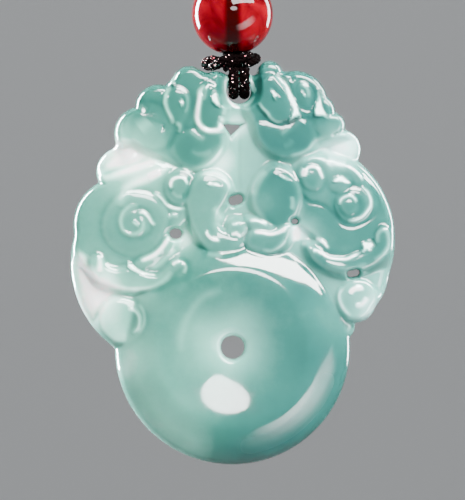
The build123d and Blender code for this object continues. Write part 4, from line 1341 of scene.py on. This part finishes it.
slope_x, slope_z = np.gradient(depth, GRID_STEP)
steep = np.maximum(np.hypot(slope_x, slope_z), LEAST_SLOPE)
slope_x, slope_z = slope_x / steep, slope_z / steep
width = np.where(outer_depth < inner_depth, RIM_WIDTH, HOLE_RIM_WIDTH)
angle = np.clip(depth / width, 0, 1) * np.pi / 2
angle = np.where(on_edge.reshape(rows, columns), 0, angle)
target = np.where(depth < width, width * (1 - np.cos(angle)), depth)
move = np.clip(target - depth, -2 * GRID_STEP, 2 * GRID_STEP)
new_x = grid_x + slope_x * move
new_z = grid_z + slope_z * move
front_y = -front * np.sin(angle)
back_y = back * np.sin(angle)
print("points and cells of the grid that are stone:", int((use > 0).sum()), len(cells))

# %% The cloudy and the clear places inside the stone, and painted glow, rim light and shade
# each a round patch that adds milk, or takes it away below zero, and fades out;
# besides the stone's own cloudiness, many paint light, as marked below
Patch = namedtuple("Patch", "x z radius milk")
PATCHES = [
    # on the thin shoulders, wing tips and stem: partly the stone's cloudiness, partly painted glow of
    # the lamps behind
    Patch(-32, 58, 9, 0.45),
    Patch(-24, 56, 7, 0.15),
    Patch(-42, 20, 7, 0.3),
    Patch(-47, 12, 8, 0.3),
    Patch(-38, 20, 5, 0.25),
    Patch(-4, 57, 5, 0.35),
    Patch(1, 68, 4, 0.3),
    Patch(33, 62, 7, 0.35),
    Patch(44, 10, 8, 0.25),
    Patch(-15, 33, 4, 0.3),
    Patch(22, 36, 4, 0.25),
    # round the donut's hole: partly cloudiness, partly painted glow through the thin stone
    Patch(0, 0, 8, 0.45),
    Patch(-9, 4, 8, 0.15),
    # along the donut's lower left edge: painted rim light
    Patch(-34, -6, 7, 0.15),
    Patch(-26, -16, 18, 0.14),
    # darker low on the donut and at its right: painted shade
    Patch(4, -34, 10, -0.2),
    Patch(18, -28, 10, -0.15),
    Patch(30, -6, 12, -0.12),
    Patch(-36, 66, 5, 0.2),
    # along the lower left edge of the wing and the donut: painted rim light
    Patch(-28, 17, 5, 0.25),
    Patch(-38, 10, 6, 0.15),
    Patch(-31, 1, 6, 0.2),
    Patch(-32, -8, 6, 0.15),
    Patch(-28, -20, 6, 0.18),
    Patch(-21, -26, 6, 0.22),
    Patch(-13, -31, 6, 0.2),
    Patch(9, 45, 5, 0.12),
    Patch(13, 56, 4, -0.12),
    Patch(21, 18, 5, -0.14),
    Patch(36, 13, 4, -0.12),
    Patch(4, 10, 5, 0.12),
]

for patch in PATCHES:
    way = np.hypot(grid_x - patch.x * SHARE, grid_z - patch.z * SHARE)
    milk += patch.milk * np.exp(-((way / (patch.radius * SHARE)) ** 2))
print("least and most milk:", [round(float(value), 2) for value in (milk.min(), milk.max())])

# %% The pendant
used = np.flatnonzero(use)
number = np.full(rows * columns, -1)
number[used] = np.arange(len(used))
inner = np.flatnonzero(use == 4)
back_number = number.copy()
back_number[inner] = len(used) + np.arange(len(inner))
flat_x, flat_z = new_x.ravel(), new_z.ravel()
front_points = np.stack([flat_x[used], front_y.ravel()[used], flat_z[used]], axis=-1)
back_points = np.stack([flat_x[inner], back_y.ravel()[inner], flat_z[inner]], axis=-1)
pendant_points = np.concatenate([front_points, back_points]) * MM + np.array(disc_centre)
pendant_faces = np.concatenate([number[cells][:, ::-1], back_number[cells]])
pendant = make_object("carved_jade", pendant_points, pendant_faces, jade)
# how milky each place is, with the painted highlights, glow and shade laid into it
milk_and_painted_light_values = np.concatenate([milk.ravel()[used], milk.ravel()[inner]]).astype(np.float32)
pendant.data.attributes.new("milk", "FLOAT", "POINT").data.foreach_set("value", milk_and_painted_light_values)
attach(pendant, "root")
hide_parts("jade_pendant")

# %% [markdown]
# The worn edge
#
# The low right edge of the donut shows a broad haze and no crisp gleam: there
# the polish is worn, and fine scratches blur what it mirrors. The scratches are
# far too fine to model, so the mesh only says how worn each place is, by its
# distance from the donut's middle and its direction, and the jade reads that.

# %% Where the polish is worn
WORN_RADIUS, WORN_HALF_WIDTH = 12.2, 1.5  # millimetres
WORN_FROM, WORN_TO, WORN_FADE = -105, 5, 25  # degrees from the right, counter-clockwise

across, _, upward = ((pendant_points - np.array(disc_centre)) / MM).T
direction = np.degrees(np.arctan2(upward, across))
in_ring = np.exp(-(((np.hypot(across, upward) - WORN_RADIUS) / WORN_HALF_WIDTH) ** 4))
fade_in = np.clip((direction - WORN_FROM) / WORN_FADE, 0, 1)
fade_out = np.clip((WORN_TO - direction) / WORN_FADE, 0, 1)
worn_values = (in_ring * fade_in * fade_out).astype(np.float32)
pendant.data.attributes.new("worn", "FLOAT", "POINT").data.foreach_set("value", worn_values)
print("share of the pendant that is worn:", round(float((worn_values > 0.5).mean()), 3))

# %% [markdown]
# The bead
#
# A bead is ground round and drilled, so it is a ball turned on a lathe with a
# hole through it. A ball with a cylinder cut out of it would do too, but leaves
# long thin faces at the bore. Here the profile goes round in one closed line:
# the outside of the ball, the softened mouth of the bore, and the bore's wall.

# %% The bead
BEAD_RADIUS, BORE_RADIUS, MOUTH_ROUND = 5.0, 1.45, 0.22  # millimetres
BEAD_STEPS, BALL_ROWS, BORE_ROWS = 128, 64, 24

mouth_height = np.sqrt(BEAD_RADIUS**2 - (BORE_RADIUS + MOUTH_ROUND) ** 2)
mouth_angle = np.arctan2(mouth_height, BORE_RADIUS + MOUTH_ROUND)
ball_angle = np.linspace(-mouth_angle, mouth_angle, BALL_ROWS)
ball = np.stack([BEAD_RADIUS * np.cos(ball_angle), BEAD_RADIUS * np.sin(ball_angle)], axis=-1)
bore_height = np.linspace(mouth_height - MOUTH_ROUND, -mouth_height + MOUTH_ROUND, BORE_ROWS)
bore = np.stack([np.full(BORE_ROWS, BORE_RADIUS), bore_height], axis=-1)
bead_profile = np.concatenate([ball, bore]) * MM
bead_points = lathe(bead_profile, bead_centre, BEAD_STEPS)
bead_faces = grid_faces(BEAD_STEPS, len(bead_profile), close_rows=True, close_columns=True)
bead = make_object("red_agate_bead", bead_points, bead_faces, agate)
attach(bead, "root")
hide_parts("agate_bead")

# %% [markdown]
# The cords
#
# The cord is a round braid of eight threads. Four wind one way and four the
# other, and each goes over and under the ones it meets. Seen along the cord,
# a thread's angle grows evenly, and its way from the middle swings in and out
# once for every two crossings. A smooth tube with a bump texture would be
# lighter, but close up its edge would be straight, where a braid's is knobbly.

# %% A smooth line through a route, and a frame to carry a profile along it


def route_line(control_points, spacing):
    """The NURBS line of a route in metres, as points that are evenly spaced."""
    data = bpy.data.curves.new("route", "CURVE")
    data.dimensions = "3D"
    data.resolution_u = 24
    spline = data.splines.new("NURBS")
    spline.points.add(len(control_points) - 1)
    weights = np.ones((len(control_points), 1))
    spline.points.foreach_set("co", np.hstack([control_points, weights]).ravel())
    spline.order_u = 3
    spline.use_endpoint_u = True
    holder = bpy.data.objects.new("route", data)
    mesh = bpy.data.meshes.new_from_object(holder)
    line = np.empty(len(mesh.vertices) * 3)
    mesh.vertices.foreach_get("co", line)
    line = line.reshape(-1, 3)
    bpy.data.objects.remove(holder)
    return even_line(line, spacing)


def even_line(line, spacing):
    """The same line with points at even distances along it."""
    steps = np.linalg.norm(np.diff(line, axis=0), axis=1)
    travelled = np.concatenate([[0], np.cumsum(steps)])
    even = np.linspace(0, travelled[-1], max(int(travelled[-1] / spacing), 8))
    return np.stack([np.interp(even, travelled, line[:, axis]) for axis in range(3)], axis=-1)


def unit(vectors):
    """Vectors of length one."""
    return vectors / np.linalg.norm(vectors, axis=-1, keepdims=True)


def side_frame(line, reference):
    """The line's own direction and two square to it, the first of them square to a reference too."""
    along = unit(np.gradient(line, axis=0))
    across = unit(np.cross(along, np.broadcast_to(reference, line.shape)))
    return along, across, np.cross(across, along)


# %% A braid around a line
THREAD_SIDES = 6
THREAD_HALF_WIDTH, THREAD_HALF_HEIGHT, THREAD_SWING = 0.42, 0.24, 0.16  # shares of the braid's radius


def thread_tube(middle, across, upward, half_width, half_height):
    """Points of a thread: an oval with six corners carried along its middle line."""
    turn = np.linspace(0, 2 * np.pi, THREAD_SIDES, endpoint=False)
    cosine, sine = np.cos(turn)[:, None], np.sin(turn)[:, None]
    ring = half_width * cosine * across[:, None] + half_height * sine * upward[:, None]
    return (middle[:, None] + ring).reshape(-1, 3)


def thread_faces(rows):
    """Faces of a thread: its wall, and two quads across the six corners at each end."""
    wall = grid_faces(rows, THREAD_SIDES, close_columns=True)
    cap = np.array([(0, 3, 2, 1), (0, 5, 4, 3)])
    end = cap[:, ::-1] + (rows - 1) * THREAD_SIDES
    return np.concatenate([wall, cap, end])


def braid(line, reference, radius, pitch):
    """Points and faces of a braid of eight threads around a line; pitch is the length of one turn."""
    _, across, upward = side_frame(line, reference)
    steps = np.linalg.norm(np.diff(line, axis=0), axis=1)
    travelled = np.concatenate([[0], np.cumsum(steps)])
    swing = THREAD_SWING * radius
    half_width, half_height = THREAD_HALF_WIDTH * radius, THREAD_HALF_HEIGHT * radius
    middle_radius = radius - half_height - swing
    all_points, all_faces, count = [], [], 0
    for hand in (1, -1):
        for thread in range(4):
            angle = hand * 2 * np.pi * travelled / pitch + thread * np.pi / 2
            reach = middle_radius + hand * swing * np.cos(8 * np.pi * travelled / pitch)
            outward = np.cos(angle)[:, None] * across + np.sin(angle)[:, None] * upward
            middle = line + reach[:, None] * outward
            run = unit(np.gradient(middle, axis=0))
            sideways = unit(np.cross(outward, run))
            points = thread_tube(middle, sideways, np.cross(run, sideways), half_width, half_height)
            all_points.append(points)
            all_faces.append(thread_faces(len(line)) + count)
            count += len(points)
    return np.concatenate(all_points), np.concatenate(all_faces)


# %% The two neck cords
CORD_RADIUS = 0.65 * MM
BRAID_PITCH = 3.4 * MM
CORD_STEP = 0.32 * MM
CORD_END = -217.04  # millimetres, the lower end of a neck cord inside the knot

# the route's points are chosen in millimetres from the nape
CORD_ROUTE = np.array([
    (3.6, 0, 0),
    (29, 0, 0),
    (54, -20, -6),
    (64, -56, -20),
    (58, -92, -50),
    (44, -116, -93),
    (26, -128, -140),
    (9, -132, -180),
    (0.7, -132, -200),
    (0.7, -132, CORD_END),
])
NECK_MIDDLE = np.array([0, -60, -60]) * MM
SIDEWAYS = np.array([1.0, 0, 0])

for side, name in ((-1, "neck_cord_left"), (1, "neck_cord_right")):
    neck_line = route_line(CORD_ROUTE * np.array([side, 1, 1]) * MM, CORD_STEP)
    points, faces = braid(neck_line, NECK_MIDDLE - neck_line, CORD_RADIUS, BRAID_PITCH)
    made = make_object("braided_" + name, points, faces, cord)
    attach(made, "root")
    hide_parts(name)

# %% The two strands below the knot, through the hole in the jade
BAIL_REACH, BAIL_TOP = 2.15, 34.25  # millimetres from the jade's middle plane, and up
BAIL_LOW = HOLE_HEIGHT - 0.3
STRAND_SHIFT, STRAND_RADIUS, STRAND_STEP = 0.66, 0.7, 0.12
strand_route = np.array([
    (-BAIL_REACH, BAIL_TOP),
    (-BAIL_REACH, BAIL_LOW),
    (BAIL_REACH, BAIL_LOW),
    (BAIL_REACH, BAIL_TOP),
])

for side, name in ((-1, "bail_strand_left"), (1, "bail_strand_right")):
    strand_x = np.full(len(strand_route), HOLE_SHIFT + side * STRAND_SHIFT)
    corners = np.column_stack([strand_x, strand_route])
    strand_line = route_line(corners * MM + np.array(disc_centre), STRAND_STEP * MM)
    points, faces = braid(strand_line, SIDEWAYS, STRAND_RADIUS * MM, BRAID_PITCH)
    made = make_object("braided_" + name, points, faces, cord)
    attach(made, "root")
    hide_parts(name)

# %% [markdown]
# The knots
#
# The knot on top of the jade is two cords twisted together and laid round the
# others, so that an arm looks out on each side. A true knot's path could be
# followed turn by turn, but it would cut into itself at this size, so a twisted
# pair goes round a short core in a long loop. The left arm catches the most
# light, and carries the most foil. The knot at the nape is the plain end of
# such a cord: it winds round itself five times.

# %% The knot on top of the jade: two cords twisted together round a core
KNOT_SHIFT, KNOT_HEIGHT, KNOT_TILT = -0.2, 35.31, 6.0  # millimetres, millimetres and degrees
WRAP_STRAIGHT, WRAP_BEND = 1.1, 1.75  # half the straight run and the bend's radius
WRAP_JUMP = 6  # how suddenly the loop goes over from its one bend to the other
WRAP_RADIUS, WRAP_TWISTS, WRAP_PITCH = 0.95, 3, 2.8
TWIST_REACH, TWIST_RADIUS = 0.44, 0.54  # shares of the wrap's radius
CORE_SHIFT, CORE_LOW, CORE_HIGH, CORE_RADIUS, CORE_PITCH = 0.4, 34.5, 35.9, 1.65, 6
FOIL_ARM_START = -1.2  # millimetres from the middle, where the glittering arm begins
LOOP_POINTS, CORE_POINTS = 241, 24

# the hyperbolic tangent jumps from one side to the other, which pulls a circle out into a long loop
loop_angle = np.linspace(0, 2 * np.pi, LOOP_POINTS)
loop_x = WRAP_BEND * np.cos(loop_angle) + WRAP_STRAIGHT * np.tanh(WRAP_JUMP * np.cos(loop_angle))
loop_y = WRAP_BEND * np.sin(loop_angle)
tilt = np.radians(KNOT_TILT)
loop_line = np.stack([loop_x * np.cos(tilt), loop_y, loop_x * np.sin(tilt)], axis=-1)
knot_middle = np.array([KNOT_SHIFT, 0, KNOT_HEIGHT])
loop_line = even_line((loop_line + knot_middle) * MM + np.array(disc_centre), STRAND_STEP * MM)
loop_axis = np.array([-np.sin(tilt), 0, np.cos(tilt)])
_, loop_across, loop_up = side_frame(loop_line, loop_axis)
knot_parts = []
for strand in (0, 1):
    twist = np.linspace(0, 2 * np.pi * WRAP_TWISTS, len(loop_line)) + strand * np.pi
    offset = np.cos(twist)[:, None] * loop_across + np.sin(twist)[:, None] * loop_up
    strand_line = loop_line + TWIST_REACH * WRAP_RADIUS * MM * offset
    knot_parts.append(braid(strand_line, loop_axis, TWIST_RADIUS * WRAP_RADIUS * MM, WRAP_PITCH * MM))
core_line = np.linspace((CORE_SHIFT, 0, CORE_LOW), (CORE_SHIFT, 0, CORE_HIGH), CORE_POINTS)
core_line = core_line * MM + np.array(disc_centre)
knot_parts.append(braid(core_line, SIDEWAYS, CORE_RADIUS * MM, CORE_PITCH * MM))
knot_points = np.concatenate([points for points, _ in knot_parts])
starts = np.cumsum([0] + [len(points) for points, _ in knot_parts])
knot_faces = np.concatenate([faces + start for (_, faces), start in zip(knot_parts, starts)])
knot = make_object("twisted_pendant_knot", knot_points, knot_faces, cord)
foil_share = np.clip(FOIL_ARM_START - knot_points[:, 0] / MM, 0, 1).astype(np.float32)
knot.data.attributes.new("foil", "FLOAT", "POINT").data.foreach_set("value", foil_share)
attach(knot, "root")
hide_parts("pendant_knot")

# %% The knot at the nape: the cord wound round itself
CLOSING_LENGTH, CLOSING_RADIUS = 7.0 * MM, 2.1 * MM
COIL_TURNS, COIL_POINTS, COIL_STEP = 5, 600, 0.2 * MM

coil_turn = np.linspace(0, 2 * np.pi * COIL_TURNS, COIL_POINTS)
coil_radius = CLOSING_RADIUS - CORD_RADIUS
coil_x = np.linspace(-1, 1, COIL_POINTS) * (CLOSING_LENGTH / 2 - CORD_RADIUS)
coil_y, coil_z = coil_radius * np.cos(coil_turn), coil_radius * np.sin(coil_turn)
coil_line = np.stack([coil_x, coil_y, coil_z], axis=-1)
points, faces = braid(even_line(coil_line, COIL_STEP), SIDEWAYS, CORD_RADIUS, BRAID_PITCH)
closing = make_object("wound_closing_knot", points, faces, cord)
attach(closing, "root")
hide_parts("closing_knot")

# %% [markdown]
# The stage
#
# The pendant hangs far above a plain pale floor: one close by would lie as a
# pale band in the polish of the donut's lower edge. All round, the floor curves
# up into a wall, so that no horizon shows from any side.

# %% The stage


def stage_material():
    """Matt pale paint."""
    material, _, shader = new_material("pale_paint")
    shader.inputs["Base Color"].default_value = (0.72, 0.73, 0.74, 1)
    shader.inputs["Roughness"].default_value = 0.9
    return material


FLOOR_LEVEL, FLOOR_RADIUS, COVE_RADIUS, WALL_TOP = -2.40, 4.0, 2.0, 6.0  # metres
STAGE_STEPS, COVE_STEPS = 96, 32

# the faces look inwards, at the pendant, so the volume that is printed is below zero
cove_angle = np.linspace(0, np.pi / 2, COVE_STEPS)
cove_out, cove_up = COVE_RADIUS * np.sin(cove_angle), COVE_RADIUS * (1 - np.cos(cove_angle))
cove = np.stack([FLOOR_RADIUS + cove_out, cove_up], axis=-1)
stage_profile = np.concatenate([[(0.001, 0.0)], cove, [(FLOOR_RADIUS + COVE_RADIUS, WALL_TOP)]])[::-1]
stage_points = lathe(stage_profile, (0, 0, FLOOR_LEVEL), STAGE_STEPS)
stage_faces = grid_faces(STAGE_STEPS, len(stage_profile), close_rows=True)
stage = make_object("stage", stage_points, stage_faces, stage_material())
